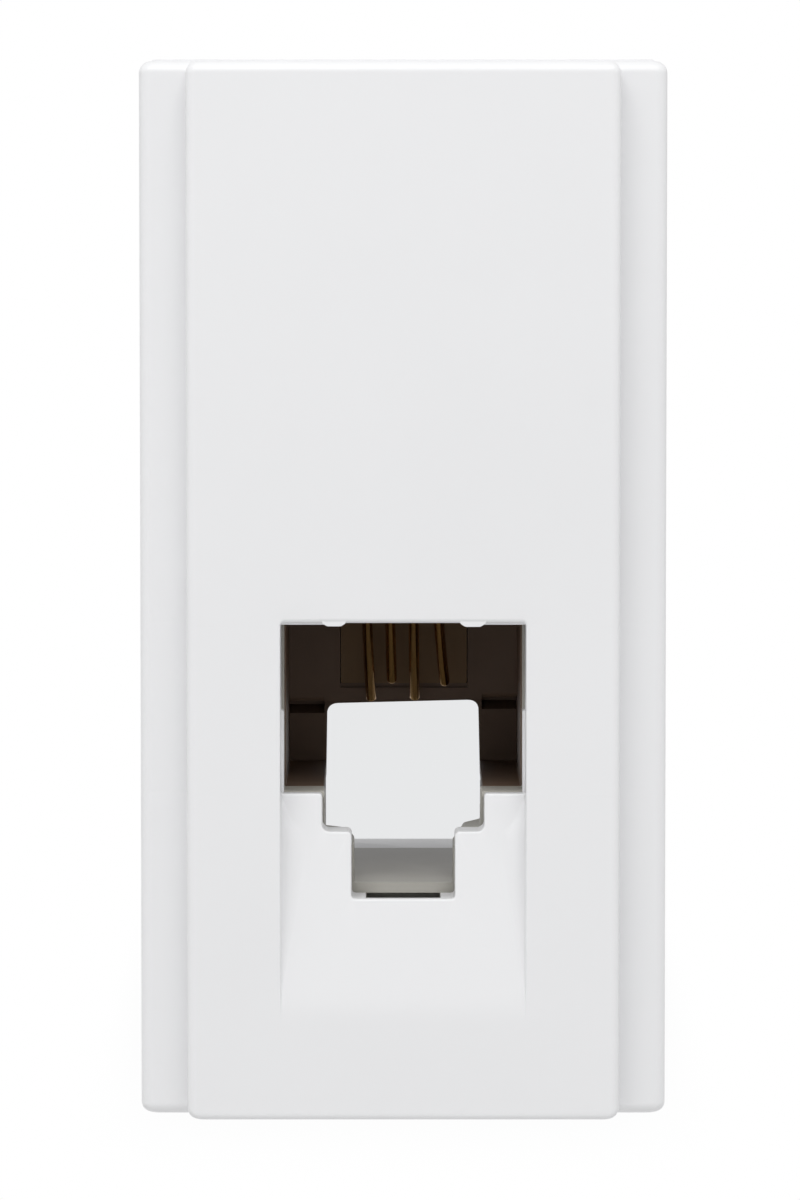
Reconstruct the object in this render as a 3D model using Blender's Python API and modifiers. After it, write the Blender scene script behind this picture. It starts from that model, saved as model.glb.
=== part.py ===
"""Telephone wall socket: a one-module insert, 22.4 x 45 mm, with a stepped aperture for a modular plug.

Axes: X to the right, Y into the wall, Z up. The origin is the centre of the cover's rear rim, which
seats on the mounting frame. Sizes are in metres, written as millimetres times MM. Widths build up
from the plug outwards, through contact block, jack, housing and cover, and come to 22.4 mm; heights
start from the cover's 45 mm.
"""
import math

import bmesh
import bpy
from mathutils import Matrix, Vector

MM = 0.001

# Fits shared by every piece
FIT = 0.3 * MM                      # clearance between pieces that seat on each other
THREAD_FIT = 0.15 * MM              # clearance between a screw and its thread
OVERRUN = 1.0 * MM                  # how far a cutter runs past the face it opens
WELD = 0.002 * MM                   # points closer than this are one point

# Front cover: side wings with a raised centre panel
COVER_HEIGHT = 45.0 * MM
COVER_WALL = 1.6 * MM
WING_STAND = 7.3 * MM               # wing face in front of the rim
WING_WIDTH = 2.03 * MM
PANEL_RISE = 1.85 * MM
PLAN_CORNER = 0.5 * MM
WING_EDGE = 0.45 * MM
PANEL_EDGE = 0.35 * MM

# Plug aperture in the cover, and the ramp that leads a thumb to the plug's latch
APERTURE_WIDTH = 10.4 * MM
APERTURE_TOP = -1.4 * MM
APERTURE_HEIGHT = 7.3 * MM
STEP_WIDTH = 6.9 * MM
STEP_DROP = 1.6 * MM
SLOT_WIDTH = 4.4 * MM
SLOT_DROP = 2.75 * MM
APERTURE_CORNER = 0.3 * MM
RAMP_LENGTH = 9.15 * MM
RAMP_DEPTH = 1.6 * MM
NIB_RISE = 0.15 * MM                # locating nibs round the aperture
NIB_DEPTH = 1.2 * MM
NIB_LENGTH = 0.8 * MM
NIB_SPACING = 5.6 * MM
RIB_LENGTH = 3.6 * MM
NOTCH_WIDTH = 3.2 * MM              # undercut below the latch slot
NOTCH_DEPTH = 0.5 * MM
NOTCH_SKIN = 0.4 * MM

# Jack housing, the stepped sleeve behind the cover
JACK_REVEAL = 0.1 * MM              # how far its aperture stands inside the cover's
JACK_STEP_SINK = 0.15 * MM
JACK_SLOT_LIP = 0.45 * MM
JACK_PLATE = 3.0 * MM
JACK_DEPTH = 13.75 * MM
JACK_WALL = 1.0 * MM
LATCH_WIDTH = 6.9 * MM

# Contact block inside the jack, with its see-through rear window
BLOCK_WALL = 0.7 * MM
CAVITY_REVEAL = 0.05 * MM
REAR_WALL_UPPER = 2.6 * MM
REAR_WALL_LOWER = 1.4 * MM
REAR_STEP_HEIGHT = 2.65 * MM        # thinner part of the rear wall above the cavity floor
WINDOW_HEIGHT = 2.8 * MM            # window top above the cavity floor
WINDOW_CORNER = 0.35 * MM
WIRE_TROUGH_WIDTH = 4.6 * MM
BLOCK_FRONT_LIP = 0.45 * MM

# Contact carrier and the four spring wires
CARRIER_WIDTH = 5.6 * MM
CARRIER_BAR = 0.55 * MM             # what is left of the rear wall between carrier and window
WIRE_PITCH = 1.02 * MM
WIRE_DIAMETER = 0.46 * MM
WIRE_ROW_LOW = 0.8 * MM             # tail rows above the cavity roof
WIRE_ROW_RISE = 1.1 * MM
ROW_COVER = 0.8 * MM                # block above the upper row
WIRE_BEND = 0.55 * MM
WIRE_FRONT = 1.7 * MM               # front of the bend behind the block's face
WIRE_TAIL = 0.8 * MM
TIP_SETBACK = 0.75 * MM             # long wires' tips in front of the rear wall
TIP_STAGGER = 0.75 * MM
TIP_DROP = 4.55 * MM                # long wires' tips below the cavity roof
TIP_LEAN = 0.22 * MM

# Circuit board
BOARD_THICKNESS = 1.0 * MM
BOARD_HOLE = 1.2 * MM
BOARD_MARGIN = 1.25 * MM

# Terminal block: four poles, screws from the rear, wires from above
POLES = 4
TERMINAL_HEIGHT = 9.6 * MM
TERMINAL_DEPTH = 8.3 * MM
TERMINAL_END_WALL = 0.5 * MM
PARTITION = 0.4 * MM                # between neighbouring chambers
CAGE_HEIGHT = 4.0 * MM
CAGE_DEPTH = 3.2 * MM
CAGE_WALL = 0.4 * MM
SCREW_HEAD = 2.4 * MM
SCREW_HEAD_HEIGHT = 1.2 * MM
SCREW_SHANK = 1.4 * MM
SCREW_SINK = 1.2 * MM               # head below the block's rear face
SLOT_CUT = 0.4 * MM
PIN_THICKNESS = 0.5 * MM
PIN_TAIL = 0.7 * MM
WIRE_ENTRY = 2.2 * MM

# Rear housing
RIM_MARGIN = 2.8 * MM               # cover's rim beyond the housing, above and below
SIDE_GUIDE = 0.75 * MM              # rib between the jack and a side wall
CABLE_SPACE = 2.7 * MM              # room for the line wires above the terminals
HOUSING_WALL = 1.2 * MM
HOUSING_CORNER = 1.0 * MM
BACK_REVEAL = 0.2 * MM              # back wall behind the terminal block's face
SHELF = 1.0 * MM
SHELF_DEPTH = 9.0 * MM
LIP_REVEAL = 0.15 * MM
LIP_DEPTH = 3.0 * MM
DUCT_FLARE = 0.8 * MM
FRAME_SHEET = 1.3 * MM              # mounting frame clamped behind the cover's rim
TONGUE_WIDTH = 7.0 * MM
TONGUE_BAND = 1.2 * MM              # wall between the tongue's root and the cable notch
TONGUE_SLOT = 0.8 * MM
TONGUE_NOSE = 0.4 * MM              # tongue round its lug, at the tip and the sides
TONGUE_LUG_RISE = 1.1 * MM
TONGUE_LUG_LENGTH = 3.0 * MM
TONGUE_LUG_FLAT = 0.8 * MM
SNAP_SPACING = 24.0 * MM
SNAP_WIDTH = 3.8 * MM
SNAP_LENGTH = 2.0 * MM
SNAP_RISE = 1.55 * MM
SNAP_SETBACK = 1.6 * MM             # lug shoulder in front of the rim
CABLE_NOTCH_WIDTH = 12.6 * MM
CABLE_NOTCH_MARGIN = 0.6 * MM       # notch past the wire entries, towards the front

# Depths along Y, from the panel's face to the back
WING_FACE = -WING_STAND
PANEL_FACE = WING_FACE - PANEL_RISE
CEILING = WING_FACE + COVER_WALL
PANEL_CEILING = PANEL_FACE + COVER_WALL
SEAT_CEILING = PANEL_FACE + RAMP_DEPTH + COVER_WALL
JACK_FRONT = SEAT_CEILING + FIT
JACK_REAR = JACK_FRONT + JACK_DEPTH
PLATE_REAR = JACK_FRONT + JACK_PLATE
BLOCK_FRONT = PLATE_REAR + FIT
REAR_FACE_UPPER = JACK_REAR - REAR_WALL_UPPER
REAR_FACE_LOWER = JACK_REAR - REAR_WALL_LOWER
BOARD_FRONT = JACK_REAR + FIT
BOARD_REAR = BOARD_FRONT + BOARD_THICKNESS
TERMINAL_FRONT = BOARD_REAR + FIT
TERMINAL_REAR = TERMINAL_FRONT + TERMINAL_DEPTH
HOUSING_FRONT = CEILING + FIT
HOUSING_REAR = TERMINAL_REAR + BACK_REVEAL
BACK_WALL = HOUSING_REAR - HOUSING_WALL

# Half widths along X
CAVITY_X = APERTURE_WIDTH / 2 - JACK_REVEAL - CAVITY_REVEAL
BLOCK_X = CAVITY_X + BLOCK_WALL
POCKET_X = BLOCK_X + FIT
JACK_X = POCKET_X + JACK_WALL
HOUSING_INNER_X = JACK_X + FIT + SIDE_GUIDE
HOUSING_X = HOUSING_INNER_X + HOUSING_WALL
COVER_INNER_X = HOUSING_X + FIT
COVER_X = COVER_INNER_X + COVER_WALL
PANEL_X = COVER_X - WING_WIDTH
WINDOW_X = LATCH_WIDTH / 2
TERMINAL_X = HOUSING_INNER_X - 2 * FIT
TERMINAL_PITCH = (2 * (TERMINAL_X - TERMINAL_END_WALL) + PARTITION) / POLES
CAGE_WIDTH = TERMINAL_PITCH - PARTITION - 2 * FIT

# Heights along Z
LEDGE = APERTURE_TOP - APERTURE_HEIGHT
STEP = LEDGE - STEP_DROP
SLOT = STEP - SLOT_DROP
RAMP_END = LEDGE - RAMP_LENGTH
COVER_INNER_Z = COVER_HEIGHT / 2 - COVER_WALL
CAVITY_ROOF = APERTURE_TOP + JACK_REVEAL
CAVITY_FLOOR = LEDGE + CAVITY_REVEAL
LOW_ROW = CAVITY_ROOF + WIRE_ROW_LOW
HIGH_ROW = LOW_ROW + WIRE_ROW_RISE
BLOCK_TOP = HIGH_ROW + ROW_COVER
BLOCK_BOTTOM = CAVITY_FLOOR - BLOCK_WALL
POCKET_TOP = BLOCK_TOP + FIT
POCKET_BOTTOM = BLOCK_BOTTOM - FIT
LATCH_FLOOR = SLOT + JACK_SLOT_LIP
JACK_TOP = POCKET_TOP + JACK_WALL
JACK_BOTTOM = LATCH_FLOOR - JACK_WALL
WINDOW_TOP = CAVITY_FLOOR + WINDOW_HEIGHT
CARRIER_BOTTOM = WINDOW_TOP + CARRIER_BAR + FIT
HOUSING_Z = COVER_HEIGHT / 2 - RIM_MARGIN
HOUSING_INNER_Z = HOUSING_Z - HOUSING_WALL
BOARD_BOTTOM = LOW_ROW - BOARD_MARGIN
BOARD_TOP = HOUSING_INNER_Z - FIT
TERMINAL_TOP = HOUSING_INNER_Z - CABLE_SPACE
TERMINAL_BOTTOM = TERMINAL_TOP - TERMINAL_HEIGHT
TERMINAL_CENTRE = (TERMINAL_TOP + TERMINAL_BOTTOM) / 2
CAGE_BOTTOM = TERMINAL_CENTRE - CAGE_HEIGHT / 2
CAGE_TOP = TERMINAL_CENTRE + CAGE_HEIGHT / 2
PIN_FOOT = CAGE_BOTTOM - FIT - PIN_THICKNESS

# Terminal depths along Y
CAGE_FRONT = TERMINAL_FRONT + 2 * FIT
CAGE_REAR = CAGE_FRONT + CAGE_DEPTH
CHAMBER_REAR = CAGE_REAR + FIT
ENTRY_DEPTH = (CAGE_FRONT + CAGE_REAR) / 2
PIN_FRONT = CAGE_FRONT + CAGE_WALL + FIT
PIN_REAR = PIN_FRONT + PIN_THICKNESS
SCREW_TOP = TERMINAL_REAR - SCREW_SINK
SCREW_SEAT = SCREW_TOP - SCREW_HEAD_HEIGHT
SCREW_TIP = PIN_REAR + FIT
CABLE_NOTCH_FRONT = ENTRY_DEPTH - WIRE_ENTRY / 2 - CABLE_NOTCH_MARGIN
TONGUE_ROOT = CABLE_NOTCH_FRONT - TONGUE_BAND

# Directions of extrusion: where a flat outline's own x, y and normal go
ALONG_X = Matrix(((0, 0, 1), (1, 0, 0), (0, 1, 0))).to_4x4()
ALONG_Y = Matrix(((1, 0, 0), (0, 0, -1), (0, 1, 0))).to_4x4()
ALONG_Z = Matrix.Identity(4)


def clear_scene():
    """Empty the file, so that the script builds the same model each time."""
    for obj in list(bpy.data.objects):
        bpy.data.objects.remove(obj, do_unlink=True)
    for collection in list(bpy.data.collections):
        bpy.data.collections.remove(collection)


def make_collection(name):
    collection = bpy.data.collections.new(name)
    bpy.context.scene.collection.children.link(collection)
    return collection


clear_scene()
PARTS = make_collection("telephone_wall_socket")
CUTTERS = make_collection("cutters")


def make_material(name, colour, roughness, metallic=0.0):
    material = bpy.data.materials.new(name)
    material.use_nodes = True
    shader = material.node_tree.nodes["Principled BSDF"]
    shader.inputs["Base Color"].default_value = (*colour, 1.0)
    shader.inputs["Roughness"].default_value = roughness
    shader.inputs["Metallic"].default_value = metallic
    return material


def add_object(name, mesh, placement=None):
    """Link a new tool object; finish() turns it into a part."""
    obj = bpy.data.objects.new(name, mesh)
    if placement is not None:
        obj.matrix_world = placement
    obj.hide_render = True
    obj.display_type = "WIRE"
    CUTTERS.objects.link(obj)
    return obj


def finish(obj, material):
    """Make a tool object a finished part with its material."""
    if any(modifier.type == "BOOLEAN" for modifier in obj.modifiers):
        weld = obj.modifiers.new("clean_joints", "WELD")
        weld.merge_threshold = WELD
    CUTTERS.objects.unlink(obj)
    PARTS.objects.link(obj)
    obj.hide_render = False
    obj.display_type = "TEXTURED"
    obj.data.materials.clear()
    obj.data.materials.append(material)
    return obj


def box(name, x, y, z):
    """A block between two values on each axis."""
    spans = [sorted(pair) for pair in (x, y, z)]
    size = [high - low for low, high in spans]
    centre = [(high + low) / 2 for low, high in spans]
    solid = bmesh.new()
    bmesh.ops.create_cube(solid, size=1.0, matrix=Matrix.Diagonal((*size, 1.0)))
    mesh = bpy.data.meshes.new(name)
    solid.to_mesh(mesh)
    solid.free()
    return add_object(name, mesh, Matrix.Translation(centre))


def rod(name, centre, radius, length, direction, sides=24):
    """A round bar about a centre, along a direction."""
    solid = bmesh.new()
    bmesh.ops.create_cone(
        solid, cap_ends=True, segments=sides, radius1=radius, radius2=radius, depth=length
    )
    mesh = bpy.data.meshes.new(name)
    solid.to_mesh(mesh)
    solid.free()
    mesh.shade_smooth()
    mesh.set_sharp_from_angle(angle=math.radians(40))
    turn = Vector((0, 0, 1)).rotation_difference(Vector(direction)).to_matrix().to_4x4()
    return add_object(name, mesh, Matrix.Translation(centre) @ turn)


def rounded(corners, radius, steps=4):
    """Replace each corner of a closed outline by an arc; radius is one value or one per corner."""
    radii = radius if isinstance(radius, (list, tuple)) else [radius] * len(corners)
    outline = []
    for index, corner in enumerate(corners):
        here = Vector(corner)
        before = (Vector(corners[index - 1]) - here).normalized()
        after = (Vector(corners[(index + 1) % len(corners)]) - here).normalized()
        size = radii[index]
        if size <= 0:
            outline.append(tuple(here))
            continue
        half = before.angle(after) / 2
        reach = size / math.tan(half)
        centre = here + (before + after).normalized() * size / math.sin(half)
        start = here + before * reach - centre
        turn = start.angle_signed(here + after * reach - centre)
        for step in range(steps + 1):
            outline.append(tuple(centre + Matrix.Rotation(-turn * step / steps, 2) @ start))
    return outline


def rectangle(x, y):
    (left, right), (bottom, top) = x, y
    return [(left, bottom), (right, bottom), (right, top), (left, top)]


def curve_to_mesh(curve_object):
    """Turn a curve into a closed mesh object in the same place, with its caps welded."""
    graph = bpy.context.evaluated_depsgraph_get()
    mesh = bpy.data.meshes.new_from_object(curve_object.evaluated_get(graph))
    solid = bmesh.new()
    solid.from_mesh(mesh)
    bmesh.ops.remove_doubles(solid, verts=solid.verts, dist=WELD)
    bmesh.ops.dissolve_limit(
        solid, angle_limit=math.radians(0.5), verts=solid.verts, edges=solid.edges, delimit=set()
    )
    bmesh.ops.recalc_face_normals(solid, faces=solid.faces)
    solid.to_mesh(mesh)
    solid.free()
    name = curve_object.name
    placement = curve_object.matrix_world.copy()
    bpy.data.objects.remove(curve_object, do_unlink=True)
    mesh.name = name
    return add_object(name, mesh, placement)


def prism(name, outline, direction, span):
    """Extrude a flat outline between two values along an axis."""
    low, high = sorted(span)
    curve = bpy.data.curves.new(name, "CURVE")
    curve.dimensions = "2D"
    curve.fill_mode = "BOTH"
    curve.extrude = (high - low) / 2
    spline = curve.splines.new("POLY")
    spline.points.add(len(outline) - 1)
    for point, place in zip(spline.points, outline):
        point.co = (*place, 0.0, 1.0)
    spline.use_cyclic_u = True
    normal = Vector([round(value) for value in direction.col[2].xyz])
    middle = (high + low) / 2
    shift = Vector([abs(value) * middle for value in normal])
    curve_object = add_object(name, curve, Matrix.Translation(shift) @ direction)
    return curve_to_mesh(curve_object)


def boolean(target, tool, operation):
    modifier = target.modifiers.new(tool.name, "BOOLEAN")
    modifier.operation = operation
    modifier.solver = "EXACT"
    modifier.object = tool


def cut(target, *tools):
    for tool in tools:
        boolean(target, tool, "DIFFERENCE")


def join(target, *tools):
    for tool in tools:
        boolean(target, tool, "UNION")


def open_at_middle(obj):
    """Remove the face of a half piece that lies in its plane of symmetry, so that Mirror can close it."""
    solid = bmesh.new()
    solid.from_mesh(obj.data)
    middle = [face for face in solid.faces if all(abs(vert.co.x) < WELD for vert in face.verts)]
    bmesh.ops.delete(solid, geom=middle, context="FACES_ONLY")
    solid.to_mesh(obj.data)
    solid.free()


def round_edges(obj, radius_at):
    """Bevel each edge to the radius that radius_at gives for its two ends, or not at all for 0."""
    mesh = obj.data
    place = obj.matrix_world
    radii = []
    for edge in mesh.edges:
        start, end = (place @ mesh.vertices[index].co for index in edge.vertices)
        radii.append(radius_at(start, end))
    weights = mesh.attributes.new("bevel_weight_edge", "FLOAT", "EDGE")
    for edge, radius in zip(mesh.edges, radii):
        weights.data[edge.index].value = radius / max(radii)
    bevel = obj.modifiers.new("edge_radius", "BEVEL")
    bevel.limit_method = "WEIGHT"
    bevel.width = max(radii)
    bevel.segments = 4


def stepped_outline(half_width, top, ledge, half_step, step, half_slot, slot):
    """The plug aperture seen from the front: body, latch step and latch slot."""
    right = [
        (half_width, top), (half_width, ledge), (half_step, ledge),
        (half_step, step), (half_slot, step), (half_slot, slot),
    ]
    left = [(-x, z) for x, z in reversed(right)]
    return rounded(right + left, APERTURE_CORNER)


def pole_positions():
    """Centres of the terminal poles along X."""
    return [(index - (POLES - 1) / 2) * TERMINAL_PITCH for index in range(POLES)]


def build_cover(material):
    """Hollow cover: wings, raised panel, ramp and the stepped aperture."""
    half_section = [
        (0.0, 0.0), (COVER_X, 0.0), (COVER_X, WING_FACE), (PANEL_X, WING_FACE),
        (PANEL_X, PANEL_FACE), (0.0, PANEL_FACE),
    ]
    cover = prism("front_cover", half_section, ALONG_Z, (-COVER_HEIGHT / 2, COVER_HEIGHT / 2))
    open_at_middle(cover)
    round_edges(cover, cover_radius)
    mirror = cover.modifiers.new("both_sides", "MIRROR")
    mirror.merge_threshold = WELD
    cut_cover_hollows(cover)
    cut_aperture(cover)
    add_nibs(cover)
    for side in (-1, 1):
        for level in (-SNAP_SPACING / 2, SNAP_SPACING / 2):
            cut(cover, box(
                "snap_window",
                (side * (COVER_INNER_X - OVERRUN), side * (COVER_X + OVERRUN)),
                (-SNAP_SETBACK - SNAP_LENGTH - FIT, -SNAP_SETBACK + FIT),
                (level - SNAP_WIDTH / 2 - FIT, level + SNAP_WIDTH / 2 + FIT),
            ))
    return finish(cover, material)


def cover_radius(start, end):
    """Radius of a cover edge: corners seen from the front, then the front edges of panel and wings."""
    def both_at(axis, value):
        return all(abs(abs(point[axis]) - abs(value)) < WELD for point in (start, end))

    if both_at(2, COVER_HEIGHT / 2) and abs(start.x - end.x) < WELD:
        return PLAN_CORNER
    if both_at(1, PANEL_FACE):
        return PANEL_EDGE
    if both_at(1, WING_FACE) and not both_at(0, PANEL_X):
        return WING_EDGE
    return 0.0


def cut_cover_hollows(cover):
    """Open the back: the main hollow, the panel's pocket and the jack's shallow seat."""
    hollow = rounded(
        rectangle((-COVER_INNER_X, COVER_INNER_X), (-COVER_INNER_Z, COVER_INNER_Z)), HOUSING_CORNER
    )
    half_pocket = PANEL_X - COVER_WALL
    pocket_floor = JACK_TOP + FIT + COVER_WALL
    pocket = rounded(
        rectangle((-half_pocket, half_pocket), (pocket_floor, COVER_INNER_Z - COVER_WALL)), HOUSING_CORNER
    )
    cut(
        cover,
        prism("main_hollow", hollow, ALONG_Y, (CEILING, OVERRUN)),
        prism("panel_pocket", pocket, ALONG_Y, (PANEL_CEILING, CEILING + OVERRUN)),
        box("jack_seat", (-JACK_X - FIT, JACK_X + FIT), (SEAT_CEILING, CEILING + OVERRUN),
            (JACK_BOTTOM - FIT, JACK_TOP + FIT)),
    )


def cut_aperture(cover):
    """Cut the ramp, the stepped aperture and the undercut at the foot of the latch slot."""
    half = APERTURE_WIDTH / 2
    ramp_floor = PANEL_FACE + RAMP_DEPTH
    run_out = OVERRUN * RAMP_LENGTH / RAMP_DEPTH
    middle = (APERTURE_TOP + LEDGE) / 2
    wedge = [
        (PANEL_FACE - OVERRUN, RAMP_END - run_out), (ramp_floor, LEDGE),
        (ramp_floor, middle), (PANEL_FACE - OVERRUN, middle),
    ]
    outline = stepped_outline(
        half, APERTURE_TOP, LEDGE, STEP_WIDTH / 2, STEP, SLOT_WIDTH / 2, SLOT
    )
    slot_face = PANEL_FACE + RAMP_DEPTH * (SLOT - RAMP_END) / RAMP_LENGTH
    cut(
        cover,
        prism("ramp", wedge, ALONG_X, (-half, half)),
        prism("aperture", outline, ALONG_Y, (PANEL_FACE - OVERRUN, SEAT_CEILING + OVERRUN)),
        box("latch_notch", (-NOTCH_WIDTH / 2, NOTCH_WIDTH / 2),
            (slot_face + NOTCH_SKIN, SEAT_CEILING + OVERRUN), (SLOT - NOTCH_DEPTH, SLOT + NOTCH_DEPTH)),
    )


def add_nibs(cover):
    """Small locating nibs at the aperture's top edge and ribs on its side walls."""
    depth = (SEAT_CEILING - NIB_DEPTH, SEAT_CEILING - FIT)
    half = APERTURE_WIDTH / 2
    for side in (-1, 1):
        nib = side * NIB_SPACING / 2
        join(
            cover,
            box("top_nib", (nib - NIB_LENGTH / 2, nib + NIB_LENGTH / 2), depth,
                (APERTURE_TOP - NIB_RISE, APERTURE_TOP + NIB_RISE)),
            box("side_rib", (side * (half - NIB_RISE), side * (half + NIB_RISE)), depth,
                (LEDGE - NIB_RISE, LEDGE + RIB_LENGTH)),
        )


def build_jack(material):
    """Sleeve with a thick stepped front plate, a pocket for the contact block and a latch channel."""
    jack = box("jack_housing", (-JACK_X, JACK_X), (JACK_FRONT, JACK_REAR), (JACK_BOTTOM, JACK_TOP))
    outline = stepped_outline(
        APERTURE_WIDTH / 2 - JACK_REVEAL, APERTURE_TOP + JACK_REVEAL, LEDGE + CAVITY_REVEAL,
        STEP_WIDTH / 2 - JACK_REVEAL, STEP - JACK_STEP_SINK, SLOT_WIDTH / 2 - JACK_REVEAL, LATCH_FLOOR,
    )
    cut(
        jack,
        box("block_pocket", (-POCKET_X, POCKET_X), (PLATE_REAR, JACK_REAR + OVERRUN),
            (POCKET_BOTTOM, POCKET_TOP)),
        box("latch_channel", (-LATCH_WIDTH / 2, LATCH_WIDTH / 2), (PLATE_REAR, JACK_REAR + OVERRUN),
            (LATCH_FLOOR, POCKET_BOTTOM + JACK_WALL)),
        prism("jack_aperture", outline, ALONG_Y, (JACK_FRONT - OVERRUN, PLATE_REAR + OVERRUN)),
    )
    return finish(jack, material)


def build_contact_block(material):
    """Dark block round the plug: side walls, floor ledges, roof trough and a windowed rear wall."""
    block = box("contact_block", (-BLOCK_X, BLOCK_X), (BLOCK_FRONT, JACK_REAR), (BLOCK_BOTTOM, BLOCK_TOP))
    rear_step = CAVITY_FLOOR + REAR_STEP_HEIGHT
    window = rounded(
        rectangle((-WINDOW_X, WINDOW_X), (BLOCK_BOTTOM - OVERRUN, WINDOW_TOP)),
        [0.0, 0.0, WINDOW_CORNER, WINDOW_CORNER],
    )
    cut(
        block,
        box("plug_cavity", (-CAVITY_X, CAVITY_X), (BLOCK_FRONT - OVERRUN, REAR_FACE_UPPER),
            (CAVITY_FLOOR, CAVITY_ROOF)),
        box("nose_cavity", (-CAVITY_X, CAVITY_X), (REAR_FACE_UPPER - OVERRUN, REAR_FACE_LOWER),
            (CAVITY_FLOOR, rear_step)),
        prism("rear_window", window, ALONG_Y, (BLOCK_FRONT - OVERRUN, JACK_REAR + OVERRUN)),
        box("wire_trough", (-WIRE_TROUGH_WIDTH / 2, WIRE_TROUGH_WIDTH / 2),
            (BLOCK_FRONT + BLOCK_FRONT_LIP, REAR_FACE_UPPER + OVERRUN),
            (CAVITY_ROOF - OVERRUN, BLOCK_TOP + OVERRUN)),
        box("carrier_notch", (-CARRIER_WIDTH / 2 - FIT, CARRIER_WIDTH / 2 + FIT),
            (REAR_FACE_UPPER - OVERRUN, JACK_REAR + OVERRUN), (CARRIER_BOTTOM - FIT, BLOCK_TOP + OVERRUN)),
    )
    return finish(block, material)


def wire_layout():
    """Each spring wire: its place along X, tail height, tip in Y and Z, and lean at the tip."""
    layout = []
    for index in range(POLES):
        x = (index - (POLES - 1) / 2) * WIRE_PITCH
        is_long = index % 2 == 0
        tail = LOW_ROW if is_long else HIGH_ROW
        setback = TIP_SETBACK if is_long else TIP_SETBACK + TIP_STAGGER
        drop = TIP_DROP if is_long else TIP_DROP - TIP_STAGGER
        lean = TIP_LEAN if index in (0, POLES - 1) else 0.0
        layout.append((x, tail, REAR_FACE_UPPER - setback, CAVITY_ROOF - drop, lean))
    return layout


def wire_path(x, tail, tip_y, tip_z, lean):
    """Tail, straight run along the trough, a bend at the front, then a straight spring to the tip."""
    centre_y = BLOCK_FRONT + WIRE_FRONT
    centre_z = tail - WIRE_BEND
    reach = math.hypot(tip_y - centre_y, tip_z - centre_z)
    bearing = math.atan2(tip_z - centre_z, tip_y - centre_y)
    end_angle = bearing - math.acos(WIRE_BEND / reach)
    sweep = (end_angle - math.pi / 2) % (2 * math.pi)
    path = [Vector((x, BOARD_REAR + WIRE_TAIL, tail))]
    turns = 10
    for step in range(turns + 1):
        angle = math.pi / 2 + sweep * step / turns
        path.append(Vector((
            x, centre_y + WIRE_BEND * math.cos(angle), centre_z + WIRE_BEND * math.sin(angle)
        )))
    path.append(Vector((x + lean, tip_y, tip_z)))
    return path


def build_wires(material):
    for index, place in enumerate(wire_layout(), start=1):
        name = f"contact_wire_{index}"
        curve = bpy.data.curves.new(name, "CURVE")
        curve.dimensions = "3D"
        curve.bevel_depth = WIRE_DIAMETER / 2
        curve.bevel_resolution = 2
        curve.use_fill_caps = True
        path = wire_path(*place)
        spline = curve.splines.new("POLY")
        spline.points.add(len(path) - 1)
        for point, position in zip(spline.points, path):
            point.co = (*position, 1.0)
        finish(curve_to_mesh(add_object(name, curve)), material)


def build_carrier(material):
    """Insert that holds the wires, in a notch of the contact block's rear wall."""
    carrier = box(
        "contact_carrier", (-CARRIER_WIDTH / 2, CARRIER_WIDTH / 2), (REAR_FACE_UPPER, JACK_REAR),
        (CARRIER_BOTTOM, BLOCK_TOP),
    )
    middle = (REAR_FACE_UPPER + JACK_REAR) / 2
    for x, tail, *_ in wire_layout():
        cut(carrier, rod(
            "wire_hole", (x, middle, tail), WIRE_DIAMETER / 2 + THREAD_FIT,
            REAR_WALL_UPPER + 2 * OVERRUN, (0, 1, 0), sides=16,
        ))
    return finish(carrier, material)


def build_board(material):
    """Circuit board with holes for the wire tails and the terminal pins."""
    half_width = HOUSING_INNER_X - FIT
    board = box("circuit_board", (-half_width, half_width), (BOARD_FRONT, BOARD_REAR),
                (BOARD_BOTTOM, BOARD_TOP))
    middle = (BOARD_FRONT + BOARD_REAR) / 2
    holes = [(x, tail) for x, tail, *_ in wire_layout()]
    holes += [(x, PIN_FOOT + PIN_THICKNESS / 2) for x in pole_positions()]
    for index, (x, z) in enumerate(holes):
        radius = WIRE_DIAMETER / 2 + THREAD_FIT if index < POLES else BOARD_HOLE / 2
        cut(board, rod("board_hole", (x, middle, z), radius, BOARD_THICKNESS + 2 * OVERRUN,
                       (0, 1, 0), sides=16))
    return finish(board, material)


def build_terminal_block(material):
    """Moulded block with a chamber, a screw well and a wire entry for each pole."""
    block = box("terminal_block", (-TERMINAL_X, TERMINAL_X), (TERMINAL_FRONT, TERMINAL_REAR),
                (TERMINAL_BOTTOM, TERMINAL_TOP))
    half_chamber = CAGE_WIDTH / 2 + FIT
    well = (SCREW_SEAT - FIT, TERMINAL_REAR + OVERRUN)
    bore = (CHAMBER_REAR - OVERRUN, SCREW_SEAT + OVERRUN)
    entry = (CAGE_TOP - OVERRUN, TERMINAL_TOP + OVERRUN)
    for x in pole_positions():
        cut(
            block,
            box("chamber", (x - half_chamber, x + half_chamber), (TERMINAL_FRONT - OVERRUN, CHAMBER_REAR),
                (PIN_FOOT - FIT, CAGE_TOP + FIT)),
            rod("screw_well", (x, sum(well) / 2, TERMINAL_CENTRE), SCREW_HEAD / 2 + FIT,
                well[1] - well[0], (0, 1, 0)),
            rod("screw_bore", (x, sum(bore) / 2, TERMINAL_CENTRE), SCREW_SHANK / 2 + FIT,
                bore[1] - bore[0], (0, 1, 0)),
            rod("wire_entry", (x, ENTRY_DEPTH, sum(entry) / 2), WIRE_ENTRY / 2,
                entry[1] - entry[0], (0, 0, 1)),
        )
    return finish(block, material)


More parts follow.
